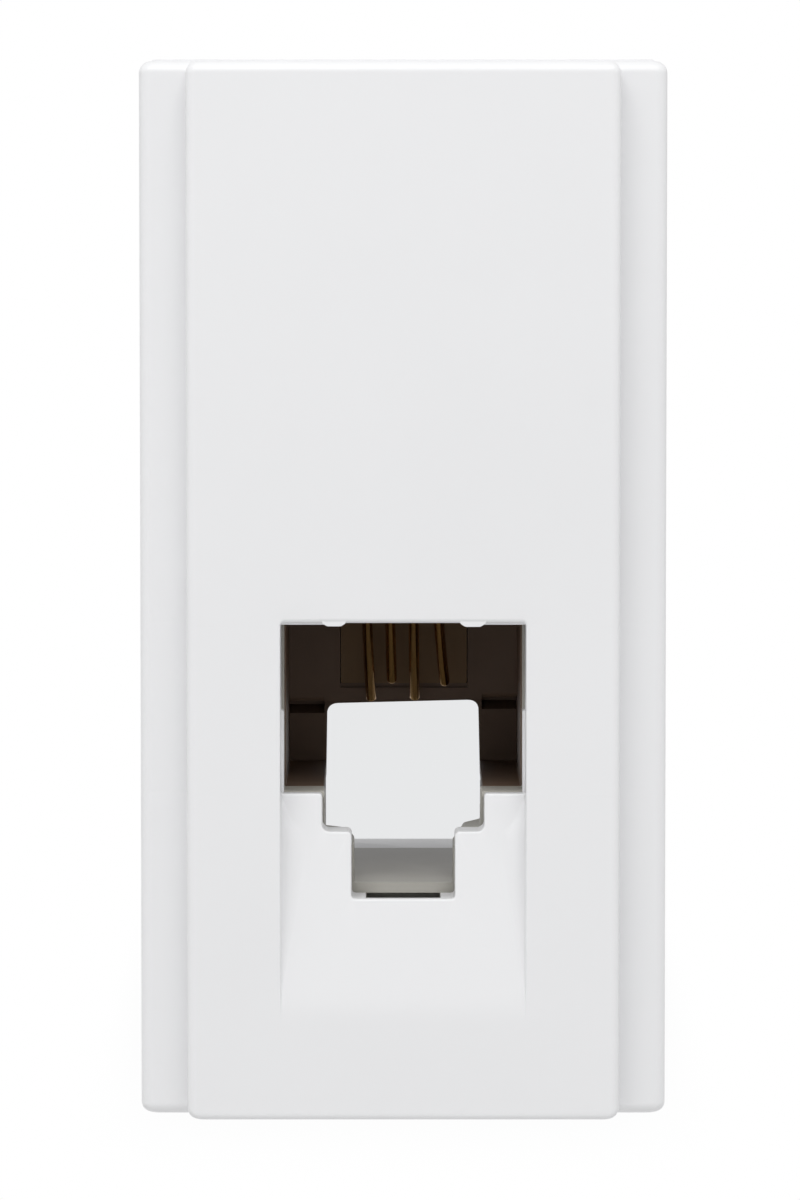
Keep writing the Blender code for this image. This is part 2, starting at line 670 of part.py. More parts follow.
def build_terminals(metal, plated):
    """Screw, clamp cage and solder pin for each pole."""
    half_cage = CAGE_WIDTH / 2
    inner = half_cage - CAGE_WALL
    for index, x in enumerate(pole_positions(), start=1):
        cage = box(f"terminal_cage_{index}", (x - half_cage, x + half_cage), (CAGE_FRONT, CAGE_REAR),
                   (CAGE_BOTTOM, CAGE_TOP))
        cut(
            cage,
            box("cage_bore", (x - inner, x + inner), (CAGE_FRONT + CAGE_WALL, CAGE_REAR - CAGE_WALL),
                (CAGE_BOTTOM - OVERRUN, CAGE_TOP + OVERRUN)),
            rod("cage_thread", (x, CAGE_REAR, TERMINAL_CENTRE), SCREW_SHANK / 2 + THREAD_FIT,
                2 * OVERRUN, (0, 1, 0)),
        )
        finish(cage, plated)
        finish(make_pin(f"terminal_pin_{index}", x), plated)
        finish(make_screw(f"terminal_screw_{index}", x), metal)


def make_pin(name, x):
    """Bent pin: a bar under the screw's tip, with a foot that runs forward through the board."""
    top = CAGE_TOP - CAGE_WALL
    profile = [
        (BOARD_FRONT - PIN_TAIL, PIN_FOOT), (PIN_REAR, PIN_FOOT), (PIN_REAR, top), (PIN_FRONT, top),
        (PIN_FRONT, PIN_FOOT + PIN_THICKNESS), (BOARD_FRONT - PIN_TAIL, PIN_FOOT + PIN_THICKNESS),
    ]
    return prism(name, profile, ALONG_X, (x - PIN_THICKNESS / 2, x + PIN_THICKNESS / 2))


def make_screw(name, x):
    """Turned cheese-head screw with a driver slot, its head to the rear."""
    head, shank = SCREW_HEAD / 2, SCREW_SHANK / 2
    edge = SLOT_CUT / 2
    tip = SCREW_TIP - SCREW_SEAT
    profile = [
        (0.0, SCREW_HEAD_HEIGHT), (head - edge, SCREW_HEAD_HEIGHT), (head, SCREW_HEAD_HEIGHT - edge),
        (head, 0.0), (shank, 0.0), (shank, tip + edge), (shank - edge, tip), (0.0, tip),
    ]
    mesh = bpy.data.meshes.new(name)
    edges = [(start, start + 1) for start in range(len(profile) - 1)]
    mesh.from_pydata([(radius, 0.0, height) for radius, height in profile], edges, [])
    placement = Matrix.Translation((x, SCREW_SEAT, TERMINAL_CENTRE)) @ Matrix.Rotation(-math.pi / 2, 4, "X")
    screw = add_object(name, mesh, placement)
    turned = screw.modifiers.new("turned", "SCREW")
    turned.steps = turned.render_steps = 20
    turned.use_merge_vertices = True
    turned.merge_threshold = WELD
    slot_floor = SCREW_TOP - SCREW_HEAD_HEIGHT / 2
    cut(screw, box("driver_slot", (x - SLOT_CUT / 2, x + SLOT_CUT / 2),
                   (slot_floor, SCREW_TOP + OVERRUN),
                   (TERMINAL_CENTRE - SCREW_HEAD, TERMINAL_CENTRE + SCREW_HEAD)))
    return screw


def build_housing(material):
    """Rear housing: an open box with the jack's bay, the see-through duct, tongues and snap lugs."""
    shell = rounded(rectangle((-HOUSING_X, HOUSING_X), (-HOUSING_Z, HOUSING_Z)), HOUSING_CORNER)
    hollow = rounded(
        rectangle((-HOUSING_INNER_X, HOUSING_INNER_X), (-HOUSING_INNER_Z, HOUSING_INNER_Z)),
        HOUSING_CORNER / 2,
    )
    housing = prism("rear_housing", shell, ALONG_Y, (HOUSING_FRONT, HOUSING_REAR))
    cut(housing, prism("housing_hollow", hollow, ALONG_Y, (HOUSING_FRONT - OVERRUN, BACK_WALL)))
    add_jack_bay(housing)
    add_board_rests(housing)
    add_duct(housing)
    add_tongues(housing)
    add_snap_lugs(housing)
    cut(
        housing,
        box("terminal_opening", (-TERMINAL_X - FIT, TERMINAL_X + FIT),
            (BACK_WALL - OVERRUN, HOUSING_REAR + OVERRUN), (TERMINAL_BOTTOM - FIT, TERMINAL_TOP + FIT)),
        box("cable_notch", (-CABLE_NOTCH_WIDTH / 2, CABLE_NOTCH_WIDTH / 2),
            (CABLE_NOTCH_FRONT, HOUSING_REAR + OVERRUN), (TERMINAL_TOP, HOUSING_Z + OVERRUN)),
    )
    return finish(housing, material)


def add_jack_bay(housing):
    """Shelves above and below the jack and ribs at its sides, which hold it in place."""
    root = HOUSING_INNER_X + HOUSING_WALL / 2
    depth = (JACK_REAR - SHELF_DEPTH, JACK_REAR)
    middle = (CAVITY_ROOF + CAVITY_FLOOR) / 2
    join(
        housing,
        box("upper_shelf", (-root, root), depth, (JACK_TOP + FIT, JACK_TOP + FIT + SHELF)),
        box("lower_shelf", (-root, root), depth, (JACK_BOTTOM - FIT - SHELF, JACK_BOTTOM - FIT)),
    )
    for side in (-1, 1):
        join(housing, box("side_guide", (side * (JACK_X + FIT), side * root), depth,
                          (middle - RIB_LENGTH, middle + RIB_LENGTH)))


def add_board_rests(housing):
    """Posts in the corners behind the board."""
    root = HOUSING_INNER_X + HOUSING_WALL / 2
    post = TERMINAL_X - SHELF
    depth = (BOARD_REAR + FIT, BACK_WALL + HOUSING_WALL / 2)
    for side in (-1, 1):
        join(
            housing,
            box("lower_rest", (side * post, side * root), depth,
                (BOARD_BOTTOM + FIT, TERMINAL_BOTTOM - SHELF)),
            box("upper_rest", (side * post, side * root), depth,
                (TERMINAL_TOP + SHELF, HOUSING_INNER_Z + HOUSING_WALL / 2)),
        )


def add_duct(housing):
    """Duct behind the jack's window: a thick lip level with the latch floor, wider towards the back."""
    lip = WINDOW_X + LIP_REVEAL
    inner = lip + DUCT_FLARE
    outer = inner + HOUSING_WALL
    roof = WINDOW_TOP + LIP_REVEAL
    front = JACK_REAR + FIT
    join(housing, box("duct", (-outer, outer), (front, BACK_WALL + HOUSING_WALL / 2),
                      (LATCH_FLOOR - DUCT_FLARE - HOUSING_WALL, roof + DUCT_FLARE + HOUSING_WALL)))
    cut(
        housing,
        box("duct_bore", (-inner, inner), (front + LIP_DEPTH, HOUSING_REAR + OVERRUN),
            (LATCH_FLOOR - DUCT_FLARE, roof + DUCT_FLARE)),
        box("duct_mouth", (-lip, lip), (front - OVERRUN, front + LIP_DEPTH + OVERRUN),
            (LATCH_FLOOR, roof)),
    )


def add_tongues(housing):
    """Spring tongues in the top and bottom walls, with lugs that catch behind the mounting frame."""
    shoulder = FRAME_SHEET + FIT
    nose = shoulder - TONGUE_NOSE
    half = TONGUE_WIDTH / 2
    outer = half + TONGUE_SLOT
    slot = [
        (-outer, nose - TONGUE_SLOT), (outer, nose - TONGUE_SLOT), (outer, TONGUE_ROOT),
        (half, TONGUE_ROOT), (half, nose), (-half, nose), (-half, TONGUE_ROOT), (-outer, TONGUE_ROOT),
    ]
    for side in (-1, 1):
        wall = sorted((side * (HOUSING_INNER_Z - OVERRUN / 2), side * (HOUSING_Z + OVERRUN)))
        cut(housing, prism("tongue_slot", slot, ALONG_Z, wall))
        lug = [
            (shoulder, side * (HOUSING_Z - HOUSING_WALL / 2)),
            (shoulder, side * (HOUSING_Z + TONGUE_LUG_RISE)),
            (shoulder + TONGUE_LUG_FLAT, side * (HOUSING_Z + TONGUE_LUG_RISE)),
            (shoulder + TONGUE_LUG_LENGTH, side * HOUSING_Z),
            (shoulder + TONGUE_LUG_LENGTH, side * (HOUSING_Z - HOUSING_WALL / 2)),
        ]
        join(housing, prism("tongue_lug", lug, ALONG_X, (TONGUE_NOSE - half, half - TONGUE_NOSE)))


def add_snap_lugs(housing):
    """Wedge lugs on the side walls, which click into the cover's windows."""
    for side in (-1, 1):
        shoulder = -SNAP_SETBACK
        profile = [
            (side * (HOUSING_X - HOUSING_WALL / 2), shoulder - SNAP_LENGTH),
            (side * HOUSING_X, shoulder - SNAP_LENGTH),
            (side * (HOUSING_X + SNAP_RISE), shoulder - FIT),
            (side * (HOUSING_X + SNAP_RISE), shoulder),
            (side * (HOUSING_X - HOUSING_WALL / 2), shoulder),
        ]
        for level in (-SNAP_SPACING / 2, SNAP_SPACING / 2):
            join(housing, prism("snap_lug", profile, ALONG_Z,
                                (level - SNAP_WIDTH / 2, level + SNAP_WIDTH / 2)))


def main():
    white_gloss = make_material("white_gloss_plastic", (0.83, 0.84, 0.85), 0.28)
    white_matte = make_material("white_matte_plastic", (0.78, 0.79, 0.79), 0.5)
    pale_grey = make_material("pale_grey_plastic", (0.60, 0.58, 0.55), 0.45)
    dark_brown = make_material("dark_brown_plastic", (0.030, 0.022, 0.016), 0.5)
    brown = make_material("brown_plastic", (0.045, 0.026, 0.014), 0.5)
    gold = make_material("gold_plating", (0.83, 0.62, 0.28), 0.25, 1.0)
    laminate = make_material("board_laminate", (0.02, 0.16, 0.06), 0.45)
    grey = make_material("grey_plastic", (0.32, 0.34, 0.35), 0.5)
    nickel = make_material("nickel_plate", (0.66, 0.63, 0.58), 0.3, 1.0)
    tinned = make_material("tinned_brass", (0.72, 0.70, 0.66), 0.35, 1.0)

    build_cover(white_gloss)
    build_housing(white_matte)
    build_jack(pale_grey)
    build_contact_block(dark_brown)
    build_carrier(brown)
    build_wires(gold)
    build_board(laminate)
    build_terminal_block(grey)
    build_terminals(nickel, tinned)


main()
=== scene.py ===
"""Telephone wall socket: finishes, fine pieces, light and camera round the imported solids.

Axes as in the frame: X right, Y into the wall, Z up, in metres. Sizes are written as millimetres times MM.
"""
import logging
import math
from dataclasses import dataclass
from enum import Enum

import bmesh
import bpy
import numpy as np
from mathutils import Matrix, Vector


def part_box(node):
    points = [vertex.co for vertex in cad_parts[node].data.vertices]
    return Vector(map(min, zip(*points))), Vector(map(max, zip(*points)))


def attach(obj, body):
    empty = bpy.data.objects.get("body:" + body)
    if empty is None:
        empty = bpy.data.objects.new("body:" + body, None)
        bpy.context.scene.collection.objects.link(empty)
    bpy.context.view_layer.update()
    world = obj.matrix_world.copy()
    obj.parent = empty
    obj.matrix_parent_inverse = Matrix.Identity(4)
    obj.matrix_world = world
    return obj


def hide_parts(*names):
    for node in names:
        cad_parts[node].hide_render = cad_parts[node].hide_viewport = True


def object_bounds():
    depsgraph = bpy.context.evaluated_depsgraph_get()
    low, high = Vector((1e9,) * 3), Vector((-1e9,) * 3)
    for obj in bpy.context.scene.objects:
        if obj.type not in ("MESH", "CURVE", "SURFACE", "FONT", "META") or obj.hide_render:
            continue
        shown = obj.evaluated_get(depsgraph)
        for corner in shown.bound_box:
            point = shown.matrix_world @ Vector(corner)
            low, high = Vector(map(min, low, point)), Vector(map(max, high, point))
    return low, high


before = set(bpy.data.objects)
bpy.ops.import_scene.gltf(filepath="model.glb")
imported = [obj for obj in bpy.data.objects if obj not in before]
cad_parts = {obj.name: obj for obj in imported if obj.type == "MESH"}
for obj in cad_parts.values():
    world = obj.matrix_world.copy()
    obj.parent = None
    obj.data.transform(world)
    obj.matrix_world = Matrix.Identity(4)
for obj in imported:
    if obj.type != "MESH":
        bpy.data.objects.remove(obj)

CAD_BOX = [list(corner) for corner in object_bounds()]
MM = 0.001
POINT_REACH = 0.0005 * MM       # points of a new mesh that lie closer than this are one
SOLID_REACH = 0.002 * MM        # the same for the loose triangles of a solid
LEAST = 1e-9                    # what two equal lengths may differ by
QUARTER_TURN = math.pi / 2.0
FULL_TURN = 2.0 * math.pi
WHITE = (1.0, 1.0, 1.0)
LOG = logging.getLogger("telephone_wall_socket")
Pair = tuple[float, float]
Triple = tuple[float, float, float]


def mm(*values: float) -> tuple[float, ...]:
    """Millimetres as metres."""
    return tuple(value * MM for value in values)


class Value:
    """A shader socket that takes part in arithmetic; each operator adds one Math node."""

    def __init__(self, tree: "ShaderTree", socket: bpy.types.NodeSocket) -> None:
        """Keep the tree that the socket belongs to."""
        self.tree = tree
        self.socket = socket

    def math(self, operation: str, *others: "Value | float") -> "Value":
        """Apply a Math operation.

        Args:
            operation: Blender's name of the operation.
            others: the second and third operands, sockets or numbers.

        Returns:
            The result as a Value.
        """
        operands = {index: operand for index, operand in enumerate((self, *others))}
        return self.tree.node("ShaderNodeMath", {"operation": operation}, operands)["Value"]

    def __add__(self, other: "Value | float") -> "Value":
        """Sum."""
        return self.math("ADD", other)

    def __sub__(self, other: "Value | float") -> "Value":
        """Difference."""
        return self.math("SUBTRACT", other)

    def __rsub__(self, other: float) -> "Value":
        """Number minus socket."""
        return (self * -1.0).math("ADD", other)

    def __mul__(self, other: "Value | float") -> "Value":
        """Product."""
        return self.math("MULTIPLY", other)

    def __abs__(self) -> "Value":
        """Distance from zero."""
        return self.math("ABSOLUTE")

    __radd__ = __add__
    __rmul__ = __mul__

    def ramp(self, start: float, end: float) -> "Value":
        """Soft step of the value.

        Args:
            start: value that gives 0.
            end: value that gives 1; it may be the smaller of the two.

        Returns:
            A smooth value between 0 and 1.
        """
        low, high = sorted((start, end))
        rising = self.tree.node("ShaderNodeMapRange", {"interpolation_type": "SMOOTHSTEP"},
                                {"Value": self, "From Min": low, "From Max": high})["Result"]
        return rising if start <= end else 1.0 - rising


class Outputs:
    """Output sockets of a node, looked up by name and wrapped as Values."""

    def __init__(self, tree: "ShaderTree", node: bpy.types.Node) -> None:
        """Keep the node."""
        self.tree = tree
        self.node = node

    def __getitem__(self, name: str) -> Value:
        """The enabled output of that name."""
        sockets = [socket for socket in self.node.outputs if socket.name == name and socket.enabled]
        return Value(self.tree, sockets[0])


class ShaderTree:
    """The node tree of one material or world."""

    def __init__(self, owner: bpy.types.Material | bpy.types.World) -> None:
        """Start with an empty tree.

        Args:
            owner: the material or world that the tree belongs to.
        """
        owner.use_nodes = True
        self.tree = owner.node_tree
        self.tree.nodes.clear()

    def node(self, kind: str, settings: dict | None = None, inputs: dict | None = None) -> Outputs:
        """Add a node.

        Args:
            kind: Blender's type name.
            settings: attributes, set before the sockets.
            inputs: socket name or index to a Value or a plain number, colour or vector.

        Returns:
            The node's outputs.
        """
        made = self.tree.nodes.new(kind)
        for name, setting in (settings or {}).items():
            setattr(made, name, setting)
        for key, given in (inputs or {}).items():
            sockets = made.inputs if isinstance(key, int) else [
                socket for socket in made.inputs if socket.name == key and socket.enabled]
            socket = sockets[key if isinstance(key, int) else 0]
            if isinstance(given, Value):
                self.tree.links.new(given.socket, socket)
            else:
                socket.default_value = given
        return Outputs(self, made)

    def mix(self, factor: Value | float, first: "Value | Triple", second: "Value | Triple") -> Value:
        """Blend two colours.

        Args:
            factor: 0 for the first colour, 1 for the second.
            first: a socket or a plain colour.
            second: a socket or a plain colour.

        Returns:
            The blended colour.
        """
        ends = [end if isinstance(end, Value) else (*end, 1.0) for end in (first, second)]
        return self.node("ShaderNodeMix", {"data_type": "RGBA"},
                         {"Factor": factor, "A": ends[0], "B": ends[1]})["Result"]

    def place(self) -> Value:
        """Object coordinates, which are the frame's metres."""
        return self.node("ShaderNodeTexCoord")["Object"]

    def axes(self) -> tuple[Value, Value, Value]:
        """The three object coordinates apart."""
        parts = self.node("ShaderNodeSeparateXYZ", inputs={"Vector": self.place()})
        return parts["X"], parts["Y"], parts["Z"]

    def noise(self, grain: float, detail: float = 2.0, stretch: Triple = (1.0, 1.0, 1.0)) -> Value:
        """Noise in object space.

        Args:
            grain: size of one patch in metres.
            detail: number of finer octaves.
            stretch: how much longer a patch is along each axis.

        Returns:
            A value about 0.5.
        """
        place = self.node("ShaderNodeMapping", inputs={
            "Vector": self.place(), "Scale": tuple(1.0 / (grain * part) for part in stretch)})["Vector"]
        return self.node("ShaderNodeTexNoise", inputs={
            "Vector": place, "Scale": 1.0, "Detail": detail, "Roughness": 0.55})["Fac"]

    def bump(self, height: Value, depth: float, under: Value | None = None) -> Value:
        """Normal bent by a height.

        Args:
            height: value between 0 and 1.
            depth: what a height of 1 stands for, in metres.
            under: normal of another bump below this one.

        Returns:
            The normal.
        """
        inputs = {"Height": height, "Distance": depth}
        if under is not None:
            inputs["Normal"] = under
        return self.node("ShaderNodeBump", inputs=inputs)["Normal"]

    def surface(self, shader: Outputs, name: str = "BSDF") -> None:
        """End the tree with a surface shader."""
        self.node("ShaderNodeOutputMaterial", inputs={"Surface": shader[name]})


@dataclass(frozen=True)
class MouldedPlastic:
    """Injection-moulded plastic: faint cloudiness, mould texture and slow waves of the surface."""

    name: str
    colour: Triple
    roughness: float
    shade: float = 0.96             # darkest cloud, as a share of the colour
    grain: float = 0.09 * MM
    grain_depth: float = 0.0006 * MM
    wave_depth: float = 0.004 * MM
    gloss_change: float = 0.08
    level: float = 0.5              # specular level
    cloud: float = 7.0 * MM
    rubbing: float = 1.6 * MM       # size of the patches that hands have polished
    wave: float = 3.0 * MM

    def material(self) -> bpy.types.Material:
        """Build the material.

        Returns:
            The material, ready to assign.
        """
        made = bpy.data.materials.new(self.name)
        tree = ShaderTree(made)
        cloud = tree.noise(self.cloud, 3.0)
        speck = tree.noise(self.grain, 2.0)
        darker = tuple(self.shade * part for part in self.colour)
        colour = tree.mix(cloud.ramp(0.35, 0.75), self.colour, darker)
        rubbed = tree.noise(self.rubbing, 4.0)
        roughness = self.roughness + (rubbed - 0.5) * self.gloss_change + (speck - 0.5) * 0.04
        waves = tree.bump(tree.noise(self.wave, 1.0), self.wave_depth)
        normal = tree.bump(speck, self.grain_depth, under=waves)
        tree.surface(tree.node("ShaderNodeBsdfPrincipled", inputs={
            "Base Color": colour, "Roughness": roughness, "Normal": normal,
            "Specular IOR Level": self.level, "IOR": 1.5}))
        return made


@dataclass(frozen=True)
class Plating:
    """Drawn and plated metal: fine lines along one axis, tarnish in patches."""

    name: str
    colour: Triple
    roughness: float
    streak: float = 0.06
    along: Triple = (1.0, 1.0, 14.0)
    tarnish: Triple = (0.35, 0.20, 0.07)
    tarnish_share: float = 0.35
    patch: float = 0.9 * MM
    line: float = 0.03 * MM
    line_depth: float = 0.0012 * MM

    def material(self) -> bpy.types.Material:
        """Build the material.

        Returns:
            The material, ready to assign.
        """
        made = bpy.data.materials.new(self.name)
        tree = ShaderTree(made)
        patch = tree.noise(self.patch, 4.0).ramp(0.45, 0.8) * self.tarnish_share
        lines = tree.noise(self.line, 2.0, self.along)
        colour = tree.mix(patch, self.colour, self.tarnish)
        roughness = self.roughness + (lines - 0.5) * self.streak + patch * 0.25
        tree.surface(tree.node("ShaderNodeBsdfPrincipled", inputs={
            "Base Color": colour, "Metallic": 1.0, "Roughness": roughness,
            "Normal": tree.bump(lines, self.line_depth)}))
        return made


@dataclass(frozen=True)
class Laminate:
    """Circuit board: solder mask over woven glass and etched tracks."""

    name: str
    mask: Triple = (0.012, 0.115, 0.045)
    track: Triple = (0.06, 0.25, 0.07)
    track_pitch: float = 1.8 * MM
    weave: float = 0.5 * MM
    relief: float = 0.035 * MM      # how far the tracks stand up

    def material(self) -> bpy.types.Material:
        """Build the material.

        Returns:
            The material, ready to assign.
        """
        made = bpy.data.materials.new(self.name)
        tree = ShaderTree(made)
        across, _, up = tree.axes()
        turns = FULL_TURN / self.weave
        woven = (across * turns).math("SINE") * (up * turns).math("SINE") * 0.5 + 0.5
        lighter = tuple(1.5 * part + 0.01 for part in self.mask)
        track = (across * (FULL_TURN / self.track_pitch)).math("SINE").ramp(0.72, 0.76)
        under = tree.mix(woven * 0.35 + tree.noise(2.0 * MM) * 0.3, self.mask, lighter)
        colour = tree.mix(track, under, self.track)
        roughness = 0.3 + tree.noise(0.3 * MM) * 0.15
        tree.surface(tree.node("ShaderNodeBsdfPrincipled", inputs={
            "Base Color": colour, "Roughness": roughness,
            "Normal": tree.bump(woven * 0.05 + track, self.relief)}))
        return made


@dataclass(frozen=True)
class EdgeFinish:
    """Rounding of a solid's edges as moulding or stamping leaves them."""

    radius: float
    segments: int = 2
    angle: float = 32.0

    def apply(self, piece: bpy.types.Object) -> None:
        """Add the modifiers that merge the solid's triangles and round its edges.

        Args:
            piece: the piece to finish.
        """
        weld = piece.modifiers.new("merge", "WELD")
        weld.merge_threshold = SOLID_REACH
        bevel = piece.modifiers.new("edge_radius", "BEVEL")
        bevel.width = self.radius
        bevel.segments = self.segments
        bevel.limit_method = "ANGLE"
        bevel.angle_limit = math.radians(self.angle)
        bevel.harden_normals = True
        bevel.use_clamp_overlap = True


def dress(node: str, finish: bpy.types.Material, edges: EdgeFinish | None = None) -> None:
    """Give a solid of the frame its finish.

    Args:
        node: name of the solid.
        finish: its material.
        edges: rounding of its edges, if any.
    """
    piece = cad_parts[node]
    piece.data.materials.clear()
    piece.data.materials.append(finish)
    if edges:
        edges.apply(piece)
    LOG.info("dressed %s in %s", node, finish.name)


def link(name: str, data: bpy.types.ID) -> bpy.types.Object:
    """Put a mesh, lamp or camera into the scene as an object.

    Args:
        name: the object's name.
        data: what it shows.

    Returns:
        The object.
    """
    made = bpy.data.objects.new(name, data)
    bpy.context.scene.collection.objects.link(made)
    return made


def merge_points(mesh: bpy.types.Mesh, reach: float) -> None:
    """Merge points that lie together, which drops collapsed faces, and turn all faces outwards.

    Args:
        mesh: the mesh to change.
        reach: how close two points lie to become one.
    """
    solid = bmesh.new()
    solid.from_mesh(mesh)
    bmesh.ops.remove_doubles(solid, verts=solid.verts, dist=reach)
    bmesh.ops.recalc_face_normals(solid, faces=solid.faces)
    solid.to_mesh(mesh)
    solid.free()
    mesh.validate()


def make_mesh(name: str, points: np.ndarray, faces: list[list[int]]) -> bpy.types.Mesh:
    """Make a mesh with equal points merged, collapsed faces dropped and faces turned outwards.

    Args:
        name: the mesh's name.
        points: array of points x 3.
        faces: corner numbers of each face.

    Returns:
        The mesh.
    """
    mesh = bpy.data.meshes.new(name)
    mesh.from_pydata(points, [], faces)
    merge_points(mesh, POINT_REACH)
    return mesh


def grid_quads(rows: int, columns: int, wrap: bool = False) -> np.ndarray:
    """Corner numbers of the quads between neighbours of a grid.

    Args:
        rows: number of rows.
        columns: number of columns.
        wrap: whether the last column joins the first.

    Returns:
        Array of quads x 4.
    """
    index = np.arange(rows * columns).reshape(rows, columns)
    if wrap:
        index = np.concatenate([index, index[:, :1]], axis=1)
    corners = [index[:-1, :-1], index[:-1, 1:], index[1:, 1:], index[1:, :-1]]
    return np.stack(corners, axis=-1).reshape(-1, 4)


def corner_path(corners: np.ndarray, radii: np.ndarray, straight: tuple[int, ...],
                arc: int) -> tuple[np.ndarray, np.ndarray]:
    """Walk an open outline and round its inner corners.

    A straight run is a blend of its two ends. An arc's point is its centre minus the outgoing direction times
    the cosine plus the incoming direction times the sine, times the radius. The normal is the direction of
    travel turned a quarter to the left.

    Args:
        corners: array of corners x 2.
        radii: radius at each corner; the first and last are 0.
        straight: number of steps on each straight run.
        arc: number of steps on each arc.

    Returns:
        Points and unit normals along the outline.
    """
    headings = np.diff(corners, axis=0)
    headings /= np.linalg.norm(headings, axis=1, keepdims=True)
    turn = np.linspace(0.0, QUARTER_TURN, arc + 1)[1:, None]
    points, travel = [corners[:1]], [headings[:1]]
    for run, heading in enumerate(headings):
        start = corners[run] + heading * radii[run]
        end = corners[run + 1] - heading * radii[run + 1]
        share = np.linspace(0.0, 1.0, straight[run] + 1)[1:, None]
        points.append(start + (end - start) * share)
        travel.append(np.repeat(heading[None], straight[run], axis=0))
        if run + 1 < len(headings):
            after, radius = headings[run + 1], radii[run + 1]
            centre = end + after * radius
            points.append(centre + radius * (heading * np.sin(turn) - after * np.cos(turn)))
            travel.append(heading * np.cos(turn) + after * np.sin(turn))
    travel = np.concatenate(travel)
    return np.concatenate(points), np.stack([-travel[:, 1], travel[:, 0]], axis=1)


def stepped_corners(halves: tuple[float, ...], levels: tuple[float, ...]) -> np.ndarray:
    """Right half of a stepped opening, from the middle of its top down to the middle of its foot.

    Args:
        halves: half widths, from the top down.
        levels: the top and the foot of each part.

    Returns:
        Array of corners x 2.
    """
    x = np.concatenate([[0.0], np.repeat(halves, 2), [0.0]])
    return np.stack([x, np.repeat(levels, 2)], axis=1)


def rounded_outline(corners: np.ndarray, reach: float | np.ndarray, steps: int = 6) -> np.ndarray:
    """Closed outline with round corners.

    Each corner becomes a quadratic curve: its two ends lie the reach away from the corner along both sides.

    Args:
        corners: array of corners x 2.
        reach: reach of the rounding along the sides, one for all corners or one for each.
        steps: number of steps on each corner.

    Returns:
        Array of points x 2.
    """
    back = np.roll(corners, 1, axis=0) - corners
    ahead = np.roll(corners, -1, axis=0) - corners
    back /= np.linalg.norm(back, axis=1, keepdims=True)
    ahead /= np.linalg.norm(ahead, axis=1, keepdims=True)
    share = np.linspace(0.0, 1.0, steps + 1)[None, :, None]
    sizes = np.broadcast_to(reach, len(corners))[:, None, None]
    curve = corners[:, None] + sizes * ((1.0 - share) ** 2 * back[:, None] + share ** 2 * ahead[:, None])
    return curve.reshape(-1, 2)


def rounded_rectangle(x: Pair, z: Pair, radius: float, steps: int = 8) -> np.ndarray:
    """Closed outline of a rectangle with round corners.

    Args:
        x: left and right.
        z: bottom and top.
        radius: radius of the corners.
        steps: number of steps on each corner.

    Returns:
        Array of points x 2.
    """
    (left, right), (bottom, top) = x, z
    centres = np.array([(right - radius, top - radius), (left + radius, top - radius),
                        (left + radius, bottom + radius), (right - radius, bottom + radius)])
    angle = np.linspace(0.0, QUARTER_TURN, steps + 1)[None] + np.arange(4)[:, None] * QUARTER_TURN
    ring = centres[:, None] + radius * np.stack([np.cos(angle), np.sin(angle)], axis=-1)
    return ring.reshape(-1, 2)


def block(name: str, outline: np.ndarray, depth: Pair) -> bpy.types.Mesh:
    """Carry a flat outline in x and z straight along y and close both ends.

    Args:
        name: the mesh's name.
        outline: array of points x 2.
        depth: where it starts and ends.

    Returns:
        The closed mesh.
    """
    count = len(outline)
    layers = [np.stack([outline[:, 0], np.full(count, level), outline[:, 1]], axis=1) for level in depth]
    index = np.arange(count)
    after = np.roll(index, -1)
    sides = np.stack([index, after, after + count, index + count], axis=1)
    faces = sides.tolist() + [index.tolist(), (index + count).tolist()]
    return make_mesh(name, np.concatenate(layers), faces)


def bar(name: str, x: Pair, z: Pair, depth: Pair, radius: float, steps: int = 2) -> bpy.types.Mesh:
    """Carry a rectangle with round corners straight along y.

    Args:
        name: the mesh's name.
        x: left and right.
        z: bottom and top.
        depth: where it starts and ends.
        radius: radius of the corners.
        steps: number of steps on each corner.

    Returns:
        The closed mesh.
    """
    return block(name, rounded_rectangle(x, z, radius, steps), depth)


def cross_block(name: str, outline: np.ndarray, width: Pair) -> bpy.types.Mesh:
    """Carry a flat outline in y and z straight along x and close both ends.

    Args:
        name: the mesh's name.
        outline: array of points x 2.
        width: where it starts and ends.

    Returns:
        The closed mesh.
    """
    mesh = block(name, outline, width)
    points = np.empty(3 * len(mesh.vertices))
    mesh.vertices.foreach_get("co", points)
    mesh.vertices.foreach_set("co", points.reshape(-1, 3)[:, [1, 0, 2]].ravel())
    merge_points(mesh, POINT_REACH)
    return mesh


def beside(side: float, near: float, far: float) -> Pair:
    """Range of x from near to far on one side of the middle, its lower end first."""
    low, high = sorted((side * near, side * far))
    return low, high


def sweep(path: np.ndarray, radius: np.ndarray, side: np.ndarray,
          sides: int = 20) -> tuple[np.ndarray, list[list[int]]]:
    """Carry a circle of changing radius along a path.

    A point is the path's point plus the radius times the cosine of the turn along the first normal and its
    sine along the second. The first normal is the given side made square to the path, the second is the path's
    direction crossed with it.

    Args:
        path: array of points x 3.
        radius: radius at each point.
        side: a direction that the path never follows.
        sides: points round the circle.

    Returns:
        Points and faces of the tube, closed at both ends.
    """
    along = np.gradient(path, axis=0)
    along /= np.linalg.norm(along, axis=1, keepdims=True)
    first = side - (along @ side)[:, None] * along
    first /= np.linalg.norm(first, axis=1, keepdims=True)
    second = np.cross(along, first)
    turn = np.linspace(0.0, FULL_TURN, sides, endpoint=False)[None, :, None]
    rings = path[:, None] + radius[:, None, None] * (np.cos(turn) * first[:, None] + np.sin(turn) * second[:, None])
    faces = grid_quads(len(path), sides, wrap=True).tolist()
    last = (len(path) - 1) * sides
    faces += [list(range(sides)), list(range(last, last + sides))]
    return rings.reshape(-1, 3), faces


class Carving(Enum):
    """What a tool does to the piece it meets."""

    CUT = "DIFFERENCE"
    JOIN = "UNION"


